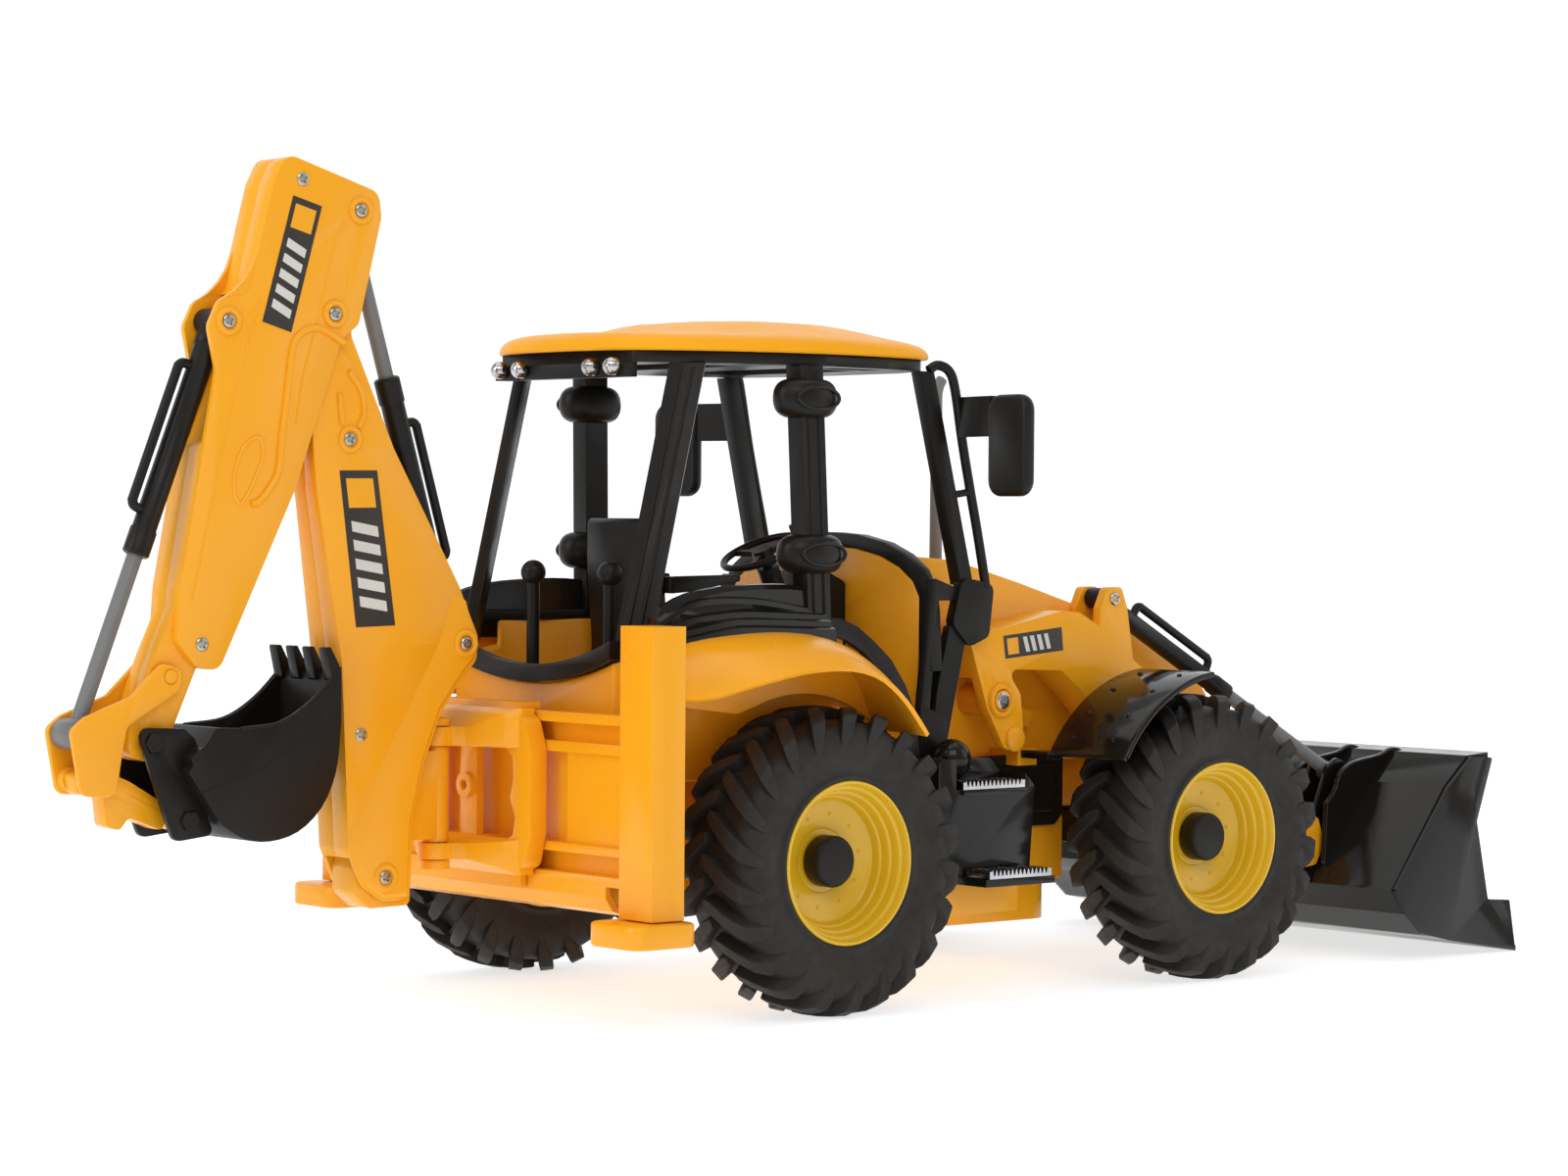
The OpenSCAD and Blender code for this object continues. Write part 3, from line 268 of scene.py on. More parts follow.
def turn(bm, profile, centre, axis, steps=48):
    """A closed (radius, along) profile turned about any axis through centre, in mm."""
    axis = Vector(axis).normalized()
    u = axis.cross(Vector((0, 1, 0)) if abs(axis.y) < 0.9 else Vector((0, 0, 1))).normalized()
    v = axis.cross(u)
    c = Vector(centre)
    rings = []
    for i in range(steps):
        t = 2 * math.pi * i / steps
        d = u * math.cos(t) + v * math.sin(t)
        rings.append([bm.verts.new(at(*(c + d * r + axis * h))) for r, h in profile])
    join(bm, rings, closed=True)


def clean(bm):
    """Merges the vertices that lie on top of each other."""
    bmesh.ops.remove_doubles(bm, verts=bm.verts[:], dist=2e-6)
    return bm


def shell(grid, thickness):
    """A closed sheet: a grid of points in mm thickened towards the side its normals leave."""
    rows, cols = len(grid), len(grid[0])
    bm = bmesh.new()
    outer = [[bm.verts.new(at(*p)) for p in row] for row in grid]
    inner = []
    for i in range(rows):
        line = []
        for j in range(cols):
            a = Vector(grid[min(i + 1, rows - 1)][j]) - Vector(grid[max(i - 1, 0)][j])
            b = Vector(grid[i][min(j + 1, cols - 1)]) - Vector(grid[i][max(j - 1, 0)])
            line.append(bm.verts.new(at(*(Vector(grid[i][j]) - a.cross(b).normalized() * thickness))))
        inner.append(line)
    for layer in (outer, inner):
        for i in range(rows - 1):
            for j in range(cols - 1):
                bm.faces.new((layer[i][j], layer[i][j + 1], layer[i + 1][j + 1], layer[i + 1][j]))
    edge = [(i, 0) for i in range(rows)] + [(rows - 1, j) for j in range(1, cols)]
    edge += [(i, cols - 1) for i in range(rows - 2, -1, -1)] + [(0, j) for j in range(cols - 2, 0, -1)]
    for k, (i, j) in enumerate(edge):
        m, n = edge[(k + 1) % len(edge)]
        bm.faces.new((outer[i][j], outer[m][n], inner[m][n], inner[i][j]))
    return bm


def slab(bm, outline, y0, y1):
    """A plate with an [x, z] outline between two y values; y0 and y1 may be functions of z."""
    f = y0 if callable(y0) else lambda z: y0
    g = y1 if callable(y1) else lambda z: y1
    a = [bm.verts.new(at(x, f(z), z)) for x, z in outline]
    b = [bm.verts.new(at(x, g(z), z)) for x, z in outline]
    join(bm, [a, b])


def merge(bm, other):
    """Moves everything in another bmesh into this one."""
    me = bpy.data.meshes.new("part")
    other.to_mesh(me)
    other.free()
    bm.from_mesh(me)
    bpy.data.meshes.remove(me)


def instead(o, node):
    """Hides a CAD node, so that an object made in its place is shown instead."""
    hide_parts(node)


# ---------------------------------------------------------------- screws

def screw(bm, x, z, y, side, r=1.9, h=0.55):
    """A pan head with a cross recess, standing on the plane y and facing side."""
    steps = 48
    turned = 0.5                                # how far the cross is turned, in radians
    arm, w = r * 0.6, r * 0.17                  # reach and half width of the cross's arms
    angles = [2 * math.pi * k / steps for k in range(steps)]
    rings = []
    for scale, height in ((1.0, 0.0), (1.0, h * 0.45), (0.86, h * 0.9), (0.7, h)):
        rings.append([point(bm, x + r * scale * math.cos(t), y + side * height, z + r * scale * math.sin(t))
                      for t in angles])
    for depth in (h, h * 0.25):
        ring = []
        for t in angles:
            f = (t + math.pi / 4) % (math.pi / 2) - math.pi / 4
            c = arm / math.cos(f) if abs(math.tan(f)) <= w / arm else w / abs(math.sin(f))
            ring.append(point(bm, x + c * math.cos(t + turned), y + side * depth,
                              z + c * math.sin(t + turned)))
        rings.append(ring)
    join(bm, rings)


def boss(bm, x, z, y, side, outer=4.0, inner=2.35, h=0.7):
    """A raised ring around a screw."""
    turn(bm, [(inner, -0.2), (inner, h * 0.6), (inner + 0.3, h), (outer - 0.5, h), (outer - 0.1, h * 0.6),
              (outer, -0.2)], (x, y, z), (0, side, 0))


def boom_y(z):
    """Half width of the boom at a height."""
    return 7.4 if z <= 105 else 5.2 if z >= 160 else 7.4 - 2.2 * (z - 105) / 55


def dipper_y(z):
    """Half width of the dipper at a height."""
    return DIPPER_Y


RAISED = 0.9          # mm that the boom's lower part stands out
# Where each screw is, and whether a ring stands around it
BOOM_SCREWS = [(*BOOM_FOOT, True), (*BOOM_RAM_BASE, True), (-114.6, 80.2, False), (-117.3, 162.3, True)]
DIPPER_SCREWS = [(-123.8, 196.7, True), (*DIPPER_EAR, True), (*DIPPER_LEVER, True),
                 (-134.7, 233.2, False), (-166.2, 106.1, False)]
for name, places, width in (("boom", BOOM_SCREWS, boom_y), ("dipper", DIPPER_SCREWS, dipper_y)):
    heads, rings = bmesh.new(), bmesh.new()
    for x, z, ring in places:
        y = width(z) + (RAISED if (x, z) in (BOOM_FOOT, BOOM_RAM_BASE) else 0)
        for side in (-1, 1):
            screw(heads, x, z, side * y, side)
            if ring:
                boss(rings, x, z, side * y, side)
    o = add(name + "_screws.heads", heads, STEEL, name, limit=35)
    instead(o, name + "_screws")
    add(name + "_bosses", clean(rings), YELLOW, name, limit=50)

# ---------------------------------------------------------------- labels and moulded relief

def label(name, body, corners, width, marks=5):
    """A dark panel with a light square and slanted stripes, on both sides of a piece."""
    a, b, c, d = [Vector(p) for p in corners]

    def inside(s, t):
        return (a + (b - a) * t) * (1 - s) + (d + (c - d) * t) * s

    for side in (-1, 1):
        hand = "left" if side > 0 else "right"
        panel, sign, light = bmesh.new(), bmesh.new(), bmesh.new()
        outline = [inside(s, t) for s, t in ((0, 0), (0, 1), (1, 1), (1, 0))]
        slab(panel, outline, lambda z: side * (width(z) - 0.1), lambda z: side * (width(z) + 0.16))
        add(f"{name}_panel.{hand}", panel, PANEL, body, bevel=0.3, segments=2)
        y0, y1 = (lambda z: side * width(z)), (lambda z: side * (width(z) + 0.22))
        square = ((0.05, 0.14), (0.05, 0.86), (0.24, 0.86), (0.24, 0.14))
        slab(sign, [inside(s, t) for s, t in square], y0, y1)
        for k in range(marks):
            s = 0.32 + 0.12 * k
            stripe = ((s, 0.16), (s + 0.07, 0.16), (s + 0.11, 0.84), (s + 0.04, 0.84))
            slab(light, [inside(u, v) for u, v in stripe], y0, y1)
        add(f"{name}_square.{hand}", sign, YELLOW, body, bevel=0.1, segments=1)
        add(f"{name}_stripes.{hand}", light, MARK, body, bevel=0.1, segments=1)


label("dipper_label", "dipper", [(-137.8, 228.6), (-128.4, 226.1), (-138.2, 191.1), (-147.6, 193.7)],
      dipper_y)
label("boom_label", "boom", [(-121.0, 153.6), (-108.4, 153.8), (-103.2, 110.5), (-116.4, 110.1)], boom_y)
label("arm_label", "loader", [(94.4, 106.0), (95.4, 99.0), (120.0, 101.2), (119.2, 108.4)],
      lambda z: ARM_Y, 4)

# Lines of the moulded hoses, seams and folds, as (x, z) in mm
DIPPER_HOSE = [(-120.8, 188.8), (-126.9, 191.9), (-131.2, 192.6), (-135.0, 191.0), (-137.6, 187.7),
               (-138.8, 179.7), (-140.0, 170.4), (-141.2, 161.7), (-142.1, 153.2), (-144.8, 148.6),
               (-148.3, 144.8), (-150.9, 144.1)]
DIPPER_OVAL = [(-148.4, 162.1), (-147.3, 156.8), (-150.5, 149.3), (-154.0, 144.2), (-156.0, 146.3),
               (-156.2, 152.2), (-153.2, 159.7)]
DIPPER_SEAM = [(-119.3, 224.6), (-123.6, 217.1), (-126.1, 209.0), (-128.2, 201.7), (-129.9, 193.7),
               (-134.1, 179.9), (-136.6, 166.0)]
DIPPER_FOLD = [(-148.6, 199.4), (-152.6, 186.0), (-158.6, 166.0), (-169.6, 118.0)]
BOOM_HOSE = [(-118.0, 181.1), (-114.0, 176.1), (-112.8, 170.3), (-114.6, 165.4)]
BOOM_SPUR = [(-121.0, 174.9), (-120.2, 166.5)]
# Outline of the boom's raised lower part, where it leaves the side and on its face
BOOM_STEP = [(-83.2, 120.0), (-118.9, 54.6), (-118.2, 47.6), (-114.2, 38.6), (-107.4, 34.0), (-98.6, 34.2),
             (-97.5, 55.6), (-93.6, 71.9), (-87.7, 86.4), (-79.7, 96.9), (-75.8, 100.6), (-75.3, 106.8)]
BOOM_STEP_TOP = [(-79.4, 117.2), (-115.6, 51.2), (-115.4, 47.4), (-112.6, 39.9), (-107.0, 35.2),
                 (-99.8, 35.4), (-98.7, 55.8), (-94.8, 72.4), (-88.8, 87.2), (-80.6, 97.8),
                 (-77.0, 101.4), (-76.4, 106.6)]
# Fillet between the dipper's back and the lug of its bucket ram
DIPPER_FLARE = [(-147.2, 219.6), (-148.9, 213.0), (-150.6, 208.6), (-153.2, 204.8), (-156.6, 201.6),
                (-160.6, 199.2), (-156.0, 196.4), (-150.0, 199.0), (-145.6, 214.0)]

relief, lines = bmesh.new(), bmesh.new()
for side in (-1, 1):
    tube(relief, [(x, side * 7.25, z) for x, z in DIPPER_HOSE], 1.0)
    tube(relief, [(x, side * 7.15, z) for x, z in DIPPER_OVAL], 0.6, closed=True)
    tube(relief, [(x, side * 7.1, z) for x, z in DIPPER_SEAM], 0.35)
    tube(relief, [(x, side * 7.1, z) for x, z in DIPPER_FOLD], 0.4)
    tube(lines, [(x, side * (boom_y(z) + 0.05), z) for x, z in BOOM_HOSE], 0.9)
    tube(lines, [(x, side * (boom_y(z) + 0.05), z) for x, z in BOOM_SPUR], 0.9)
    low = [point(lines, x, side * (boom_y(z) - 0.2), z) for x, z in BOOM_STEP]
    high = [point(lines, x, side * (boom_y(z) + RAISED), z) for x, z in BOOM_STEP_TOP]
    join(lines, [low, high])
    slab(relief, DIPPER_FLARE, side * 5.6, side * 7.1)
add("dipper_relief", relief, YELLOW, "dipper", limit=60)
add("boom_relief", lines, YELLOW, "boom", limit=30)

# ---------------------------------------------------------------- wheels

# Half of a tyre's section, as (radius, offset from its middle)
TYRE_PROFILE = [(22.6, -11.6), (23.4, -12.7), (24.6, -13.0), (25.4, -12.5), (26.8, -12.6), (29.6, -13.3),
                (33.0, -13.6), (36.0, -13.4), (38.0, -12.6), (39.2, -11.2), (39.9, -9.0), (40.2, -5.0)]
LUGS = 22             # in each of the two rows
# Stations of a lug: inner radius and offset, outer radius and offset, lean and half width in degrees
LUG = [(39.9, -0.6, 43.7, -0.6, -3.4, 2.2), (39.9, 2.6, 43.95, 2.6, -1.0, 3.3),
       (39.8, 6.4, 43.9, 6.6, 2.6, 3.6), (39.4, 9.4, 43.5, 10.4, 6.2, 3.8),
       (38.2, 11.6, 42.0, 13.2, 9.2, 3.9), (36.6, 12.6, 39.0, 13.95, 11.2, 3.5),
       (34.6, 12.9, 35.6, 13.95, 12.8, 2.7), (33.0, 12.9, 33.2, 13.65, 13.6, 1.6)]


def tyre(name, body, x, y):
    """Carcass with two rows of leaning lugs, centred at x, y."""
    side = 1 if y > 0 else -1
    profile = TYRE_PROFILE + [(40.3, 0.0)] + [(r, -h) for r, h in reversed(TYRE_PROFILE)]
    bm = lathe(profile, (x, y, AXLE_Z), 1)
    for row in (-1, 1):
        for k in range(LUGS):
            start = 360.0 / LUGS * (k + (0.5 if row > 0 else 0.0))
            rings = []
            for r0, h0, r1, h1, lean, w in LUG:
                ring = []
                for r, h, f in ((r0, h0, -1.16), (r1, h1, -0.92), (r1, h1, 0.92), (r0, h0, 1.16)):
                    t = math.radians(start - side * (lean + f * w))
                    ring.append(point(bm, x + r * math.cos(t), y + row * h, AXLE_Z + r * math.sin(t)))
                rings.append(ring)
            join(bm, rings)
    o = add(name + ".tread", bm, RUBBER, body, bevel=0.3, segments=1, limit=40)
    instead(o, name)


# A rim's closed section, as (radius, offset outwards)
RIM_PROFILE = [(2.05, -2.3), (6.0, -2.3), (6.8, -0.8), (14.5, 0.0), (17.5, 0.4), (19.6, 1.6), (20.0, -12.4),
               (23.4, -12.9), (23.4, -11.6), (21.6, -10.8), (21.4, 9.4), (22.2, 10.6), (23.3, 11.4),
               (23.5, 12.4), (23.1, 13.0), (22.5, 13.0), (22.1, 12.3), (21.7, 10.8), (20.9, 10.3),
               (20.6, 9.6), (20.2, 8.0), (19.5, 7.6), (19.2, 6.9), (18.8, 5.2), (18.2, 4.8), (17.9, 4.1),
               (17.5, 2.6), (16.8, 2.0), (15.6, 1.7), (9.6, 1.0), (9.0, 0.6), (2.05, 0.6)]
BOLTS, BOLT_CIRCLE, BOLT_R = 10, 13.4, 0.6


def rim(name, body, x, y):
    """Turned rim with a ring of bolt heads, centred at x, y."""
    side = 1 if y > 0 else -1
    bm = lathe(RIM_PROFILE, (x, y, AXLE_Z), side, 128)
    for k in range(BOLTS):
        t = math.radians(360 / BOLTS * k + 9)
        c = at(x + BOLT_CIRCLE * math.cos(t), y + side * 1.3, AXLE_Z + BOLT_CIRCLE * math.sin(t))
        bmesh.ops.create_uvsphere(bm, u_segments=12, v_segments=8, radius=BOLT_R * MM,
                                  matrix=Matrix.Translation(c))
    o = add(name + ".disc", bm, RIM, body, limit=28)
    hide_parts(name)


for end, wx in (("rear", 0.0), ("front", WHEELBASE)):
    for hand, wy in (("left", WHEEL_Y), ("right", -WHEEL_Y)):
        tyre(f"tyre_{end}_{hand}", f"wheel_{end}_{hand}", wx, wy)
        rim(f"rim_{end}_{hand}", f"wheel_{end}_{hand}", wx, wy)

# ---------------------------------------------------------------- roof

# Half of the roof's outline seen from above
ROOF_PLAN = [(-46, 0), (-45.6, 10), (-43.6, 22), (-37.6, 34), (-27, 42.4), (-10, 49.4), (8, 53.2),
             (26, 54.2), (44, 51.8), (58, 48), (66.6, 41.6), (70.4, 30), (71.8, 15), (72, 0)]
ROOF_HUB = Vector((13, 0, 0))
# Rings of the skin, as shares of the way from the hub to the edge
ROOF_RINGS = (1.0, 0.998, 0.993, 0.985, 0.97, 0.95, 0.92, 0.88, 0.83, 0.77, 0.7, 0.62, 0.53, 0.43, 0.32, 0.2,
              0.08)
outline = [(x, y, 0) for x, y in ROOF_PLAN] + [(x, -y, 0) for x, y in reversed(ROOF_PLAN[1:-1])]
outline = spline(outline, closed=True, cuts=4)


def roof_top(p, s):
    """Height of the roof's skin: a rolled edge, a flat visor behind and the raised crown."""
    edge = 5.0 * (1 - s ** 14) ** 0.5
    reach = 62.0 if p.x > 20 else 45.0
    d = (abs((p.x - 20) / reach) ** 2.4 + abs(p.y / 52.0) ** 2.4) ** (1 / 2.4)
    d = min(max((d - 0.44) / 0.56, 0.0), 1.0)
    lip = min(max((-p.x - 26) / 14.0, 0.0), 1.0) * (1 - s ** 14)
    return 189.6 + edge + 0.7 * lip + 4.9 * (1 - d * d * (3 - 2 * d)) * (1 - 0.1 * ((p.x - 28) / 50.0) ** 2)


bm = bmesh.new()
rings = [[point(bm, *(ROOF_HUB + (p - ROOF_HUB) * s + Vector((0, 0, z)))) for p in outline]
         for s, z in ((0.93, 192.4), (0.945, 189.4), (0.965, 189.0), (0.992, 189.0))]
for s in ROOF_RINGS:
    ring = []
    for p in outline:
        q = ROOF_HUB + (p - ROOF_HUB) * s
        q.z = roof_top(q, s)
        ring.append(point(bm, *q))
    rings.append(ring)
join(bm, rings)
instead(add("roof.skin", bm, ROOF, "machine", limit=55), "roof")

# ---------------------------------------------------------------- rear fenders and consoles

# Along x: the heights of a rear fender's crown and lip, how far it reaches out, and its console's height
FENDER_TOP = [(-57.3, 104.0), (-50, 105.0), (-44, 106.2), (-35, 107.6), (-20, 108.8), (-8, 108.9),
              (2, 108.0), (10, 105.6), (16, 101.8), (21, 96.6), (25, 90.4), (29.2, 80.4)]
FENDER_LIP = [(-57.3, 91.6), (-50, 91.6), (-44, 92.8), (-35, 95.2), (-20, 98.2), (-8, 99.3), (2, 99.0),
              (10, 97.0), (16, 93.6), (21, 89.4), (25, 85.0), (29.2, 79.8)]
FENDER_REACH = [(-57.3, 17.4), (-52, 18.6), (-44, 20.4), (-34, 21.8), (-24, 22.2), (30, 22.2)]
CONSOLE_TOP = [(-47, 113.4), (-44, 116.6), (-36, 119.8), (-25, 121.6), (-11, 122.4), (2, 122.4),
               (12, 121.4)]
# The console's ribs: y, and the height along x
RIBS = [(55.6, [(-47, 112.0), (-36, 117.2), (-25, 118.4), (-14, 118.2), (-5, 117.3), (12, 114.6)]),
        (58.6, [(-47, 110.4), (-38, 113.0), (-27, 114.1), (-16, 114.6), (12, 113.4)]),
        (60.8, [(-47, 108.6), (-29, 111.7), (-18, 112.5), (12, 111.6)]),
        (62.8, [(-47, 106.8), (-30, 109.5), (-20, 110.3), (12, 109.4)])]
STATIONS = [-57.3, -52, -47, -42, -36, -30, -24, -18, -12, -6, 0, 5, 9, 12.5, 15.5, 18.5, 21, 23.2, 25.2,
            27.2, 29.2]
ARCH_R = 47.2         # of the inner wall over the rear tyre
FENDER_Y = 62.0       # where the fender starts to curve down
for side in (-1, 1):
    name = "left" if side > 0 else "right"
    grid = []
    for x in STATIONS:
        top, lip = curve(FENDER_TOP, x), curve(FENDER_LIP, x)
        row = [(x, side * 54.0, top), (x, side * 59.0, top)]
        reach = curve(FENDER_REACH, x)
        for k in range(15):
            s = k / 14
            y = FENDER_Y + reach * math.sin(s * math.pi / 2) ** 0.92
            f = (y - FENDER_Y) / reach
            row.append((x, side * y, lip + (top - lip) * (1 - f ** 2.1)))
        grid.append(row if side > 0 else row[::-1])
    bm = shell(grid, 1.3)
    wall = bmesh.new()
    under = [(x, max(90 - (x + 57.3) * 10 / 81.3, AXLE_Z + math.sqrt(max(ARCH_R ** 2 - x * x, 0))))
             for x in STATIONS]
    slab(wall, [(x, curve(FENDER_TOP, x) - 0.7) for x in STATIONS] + under[::-1], side * 54.2, side * 61.6)
    merge(bm, wall)
    o = add("rear_fenders." + name, bm, YELLOW, "machine", limit=40)
    instead(o, "rear_fenders")

    bm = bmesh.new()
    rings = []
    for x in [-47, -44, -40, -36, -32, -28, -23, -18, -13, -8, -3, 2, 7, 12]:
        top = curve(CONSOLE_TOP, x)
        section = [(51.2, 104.6), (51.2, top - 0.6), (52.0, top), (53.2, top - 0.2), (54.4, top - 1.6)]
        for y, table in RIBS:
            z = curve(table, x)
            section += [(y - 0.9, z + 0.5), (y, z), (y + 0.15, z - 0.9), (y + 0.3, z - 1.5)]
        section += [(63.4, 105.4)]
        rings.append([point(bm, x, side * y, z) for y, z in section])
    join(bm, rings)
    o = add("cab_consoles." + name, bm, GLOSS, "machine", limit=30)
    instead(o, "cab_consoles")

# ---------------------------------------------------------------- collars of the middle posts

# Centre and half sizes of the upper and lower collar
COLLARS = ((9.8, 51.0, 176, 10.8, 7.1, 5.8), (11.2, 52.0, 131, 11.2, 7.5, 5.8))
bm, ovals = bmesh.new(), bmesh.new()
for side in (-1, 1):
    for x, y, z, rx, ry, rz in COLLARS:
        rings = []
        for i in range(1, 16):
            f = math.pi * (i / 16 - 0.5)
            c, h = abs(math.cos(f)) ** 0.45, math.copysign(abs(math.sin(f)) ** 0.9, math.sin(f))
            rings.append([point(bm, x + rx * c * math.cos(t), side * (y + ry * c * math.sin(t)), z + rz * h)
                          for t in [2 * math.pi * k / 40 for k in range(40)]])
        join(bm, rings)
        tube(ovals, [(x + rx * 0.72 * math.cos(t), side * (y + ry * 0.93 - 0.5 * abs(math.cos(t))),
                      z + rz * 0.55 * math.sin(t)) for t in [math.pi * k / 6 for k in range(12)]],
             0.55, closed=True)
add("post_collars", bm, BLACK, "machine", limit=60)
add("post_collar_rings", ovals, GLOSS, "machine", limit=60)

# Ridges along the rear and middle posts
bm = bmesh.new()
for side in (-1, 1):
    for k in (-1.7, 1.7):
        tube(bm, [(-44.4 - 1.15 + 0.74 * k, side * (39 + 1.27 + 0.67 * k), 104.4),
                  (-24.4 - 1.15 + 0.74 * k, side * (39 + 1.27 + 0.67 * k), 184.4)], 0.5)
    for k in (-2.0, 2.0):
        tube(bm, [(12.0 + k, side * 55.7, 113.0), (9.6 + k, side * 53.9, 184.0)], 0.5)
add("post_ridges", bm, BLACK, "machine", limit=60)

# ---------------------------------------------------------------- grab rails

# One side's rail, and the short bar that joins it to the cab
RAIL = [(61.6, 47.2, 185.9), (64.6, 48.0, 187.4), (68.0, 49.4, 185.6), (69.9, 50, 180), (72.9, 50, 165),
        (76.4, 50, 150), (79.6, 50, 137), (83.2, 50, 121.0)]
RAIL_BRIDGE = [(69.6, 46.8, 148.4), (72.6, 48.6, 149.0), (74.6, 49.6, 149.4), (76.6, 50, 150)]
# Seen from above: the bracket from a rail out to its mirror
MIRROR_ARM = [(70.9, 50.6), (73.3, 52.0), (68.9, 69.4), (66.8, 68.4)]
bm = bmesh.new()
for side in (-1, 1):
    tube(bm, [(x, side * y, z) for x, y, z in RAIL], 1.5, cuts=8)
    tube(bm, [(x, side * y, z) for x, y, z in RAIL_BRIDGE], 1.1)
    join(bm, [[point(bm, x, side * y, z) for x, y in MIRROR_ARM] for z in (166.0, 178.0)])
instead(add("grab_rails.tubes", bm, BLACK, "machine", limit=45), "grab_rails")

# ---------------------------------------------------------------- rams

def ram(node, body, start, end, r, length, eye, loop, sign, offsets=(0.0,)):
    """Barrel with end collars, eye and a bent hose beside it, from an [x, z] point towards another.

    eye is half the eye's length, loop is where the hose starts and ends along the barrel, sign is the
    side that it stands on, and offsets are the y values of the barrels.
    """
    d = Vector((end[0] - start[0], 0, end[1] - start[1])).normalized()
    n = Vector((-d.z, 0, d.x)) * sign
    bm = bmesh.new()
    for y in offsets:
        c = Vector((start[0], y, start[1]))
        turn(bm, [(0.02, 2.3), (r - 0.4, 2.3), (r - 0.1, 4.6), (r, 5.0), (r, 7.4),
                  (r - 0.35, 7.8), (r - 0.35, length - 7.6), (r, length - 7.2), (r, length - 0.5),
                  (r - 0.5, length), (2.3, length), (2.3, r + 2), (0.02, r + 2)], c, d)
        turn(bm, [(2.05, -eye), (r - 0.4, -eye), (r, -eye + 0.4), (r, eye - 0.4), (r - 0.4, eye),
                  (2.05, eye)], c, (0, 1, 0))
        a, b = loop
        hose = ((a, r - 1), (a + 0.3, 5.2), (a + 1.6, 6.1), (a + 4.4, 6.2),
                (b - 4.4, 6.2), (b - 1.6, 6.1), (b - 0.3, 5.2), (b, r - 1))
        tube(bm, [c + d * s + n * h for s, h in hose], 1.35)
    instead(add(node + ".round", bm, BLACK, body, limit=42), node)


ram("dipper_ram_barrel", "dipper_barrel", BOOM_RAM_BASE, DIPPER_LEVER, 3.7, 78, 5.3, (24, 64), -1)
ram("bucket_ram_barrel", "bucket_barrel", DIPPER_EAR, CRANK_ROD, 3.7, 68, 5.2, (14, 56), -1)
ram("tilt_ram_barrels", "tilt_barrels", TILT_BASE, TILT_BUCKET, 3.3, 66, 3.5, (16, 54), 1,
    (-TILT_Y, TILT_Y))

# ---------------------------------------------------------------- small fittings

FENDER_R = 50.8       # of the front fenders' lip
FENDER_EDGE_Y = 83.9  # where that lip runs
# Outline of the hooked ribs behind the loading bucket
RIB = [(x, z) for x, z, _ in spline([(279.2, 63.9, 0), (275.4, 66.0, 0), (270.6, 66.6, 0), (264.7, 64.5, 0),
                                     (251.8, 62.5, 0), (245.3, 58.9, 0), (242.8, 53.5, 0), (238.6, 49.2, 0)],
                                    cuts=3)]
RIB += [(237.6, 30.0), (240.0, 26.4), (262.0, 54.4), (271.6, 62.6)]
# Moulded lines on the digging bucket's sides: its rim and the fold below
DIG_RIM = [(-158.5, 83.4), (-145.7, 84.8), (-135.5, 90.4), (-126.4, 99.0)]
DIG_FOLD = [(-170.0, 66.6), (-150.0, 73.0), (-127.6, 86.0)]

steel, yellow, gloss = bmesh.new(), bmesh.new(), bmesh.new()
dig, ribs, tower = bmesh.new(), bmesh.new(), bmesh.new()
for side in (-1, 1):
    out = (0, side, 0)
    # Screws and bosses of the loader arm's pivots
    screw(steel, *TILT_BASE, side * ARM_Y, side, 2.1, 0.7)
    turn(yellow, [(3.4, -0.2), (3.4, 0.9), (3.8, 1.3), (4.8, 1.3), (5.3, 0.8), (5.4, -0.2)],
         (ARM_PIVOT[0], side * ARM_Y, ARM_PIVOT[1]), out)
    turn(yellow, [(0.05, -0.5), (0.05, 1.5), (2.8, 1.45), (3.7, 0.9), (3.9, 0.2), (3.9, -0.5)],
         (99.5, side * ARM_Y, 74.4), out)
    screw(tower, *ARM_PIVOT, side * 47.1, side, 2.6, 0.5)
    # Rolled lip and rivets of the front fender
    lip = [(WHEELBASE + FENDER_R * math.cos(math.radians(a)), side * FENDER_EDGE_Y,
            AXLE_Z + FENDER_R * math.sin(math.radians(a))) for a in range(97, 150, 4)]
    tube(gloss, lip, 1.0)
    for a in (104, 118, 132, 143):
        for y in (59, 76):
            t = math.radians(a)
            turn(gloss, [(0.05, -0.6), (0.05, 0.7), (0.7, 0.5), (1.1, -0.6)],
                 (WHEELBASE + 51.5 * math.cos(t), side * y, AXLE_Z + 51.5 * math.sin(t)),
                 (math.cos(t), 0, math.sin(t)), 16)
    # Hexagonal heads and moulded lines of the digging bucket
    for x, z in ((-182.2, 80.1), (-171.3, 58.9)):
        turn(dig, [(0.05, -0.4), (0.05, 0.5), (2.6, 0.5), (3.0, 0.1), (3.0, -0.4)],
             (x, side * 10.2, z), out, 6)
    tube(dig, [(x, side * 14.3, z) for x, z in DIG_RIM], 0.5)
    tube(dig, [(x, side * 14.4, z) for x, z in DIG_FOLD], 0.35)
    for inner, outer in ((47.2, 49.2), (30.4, 28.4)):
        slab(ribs, RIB, side * inner, side * outer)
add("loader_bucket_ribs", ribs, GLOSS, "front_bucket", bevel=0.5)
add("arm_screws", steel, STEEL, "loader", limit=35)
add("arm_bosses", yellow, YELLOW, "loader", limit=45)
add("fender_lips", gloss, GLOSS, "machine", limit=50)
add("digging_bucket_fittings", dig, BLACK, "dig_bucket", limit=45)
add("tower_screws", tower, STEEL, "machine", limit=35)
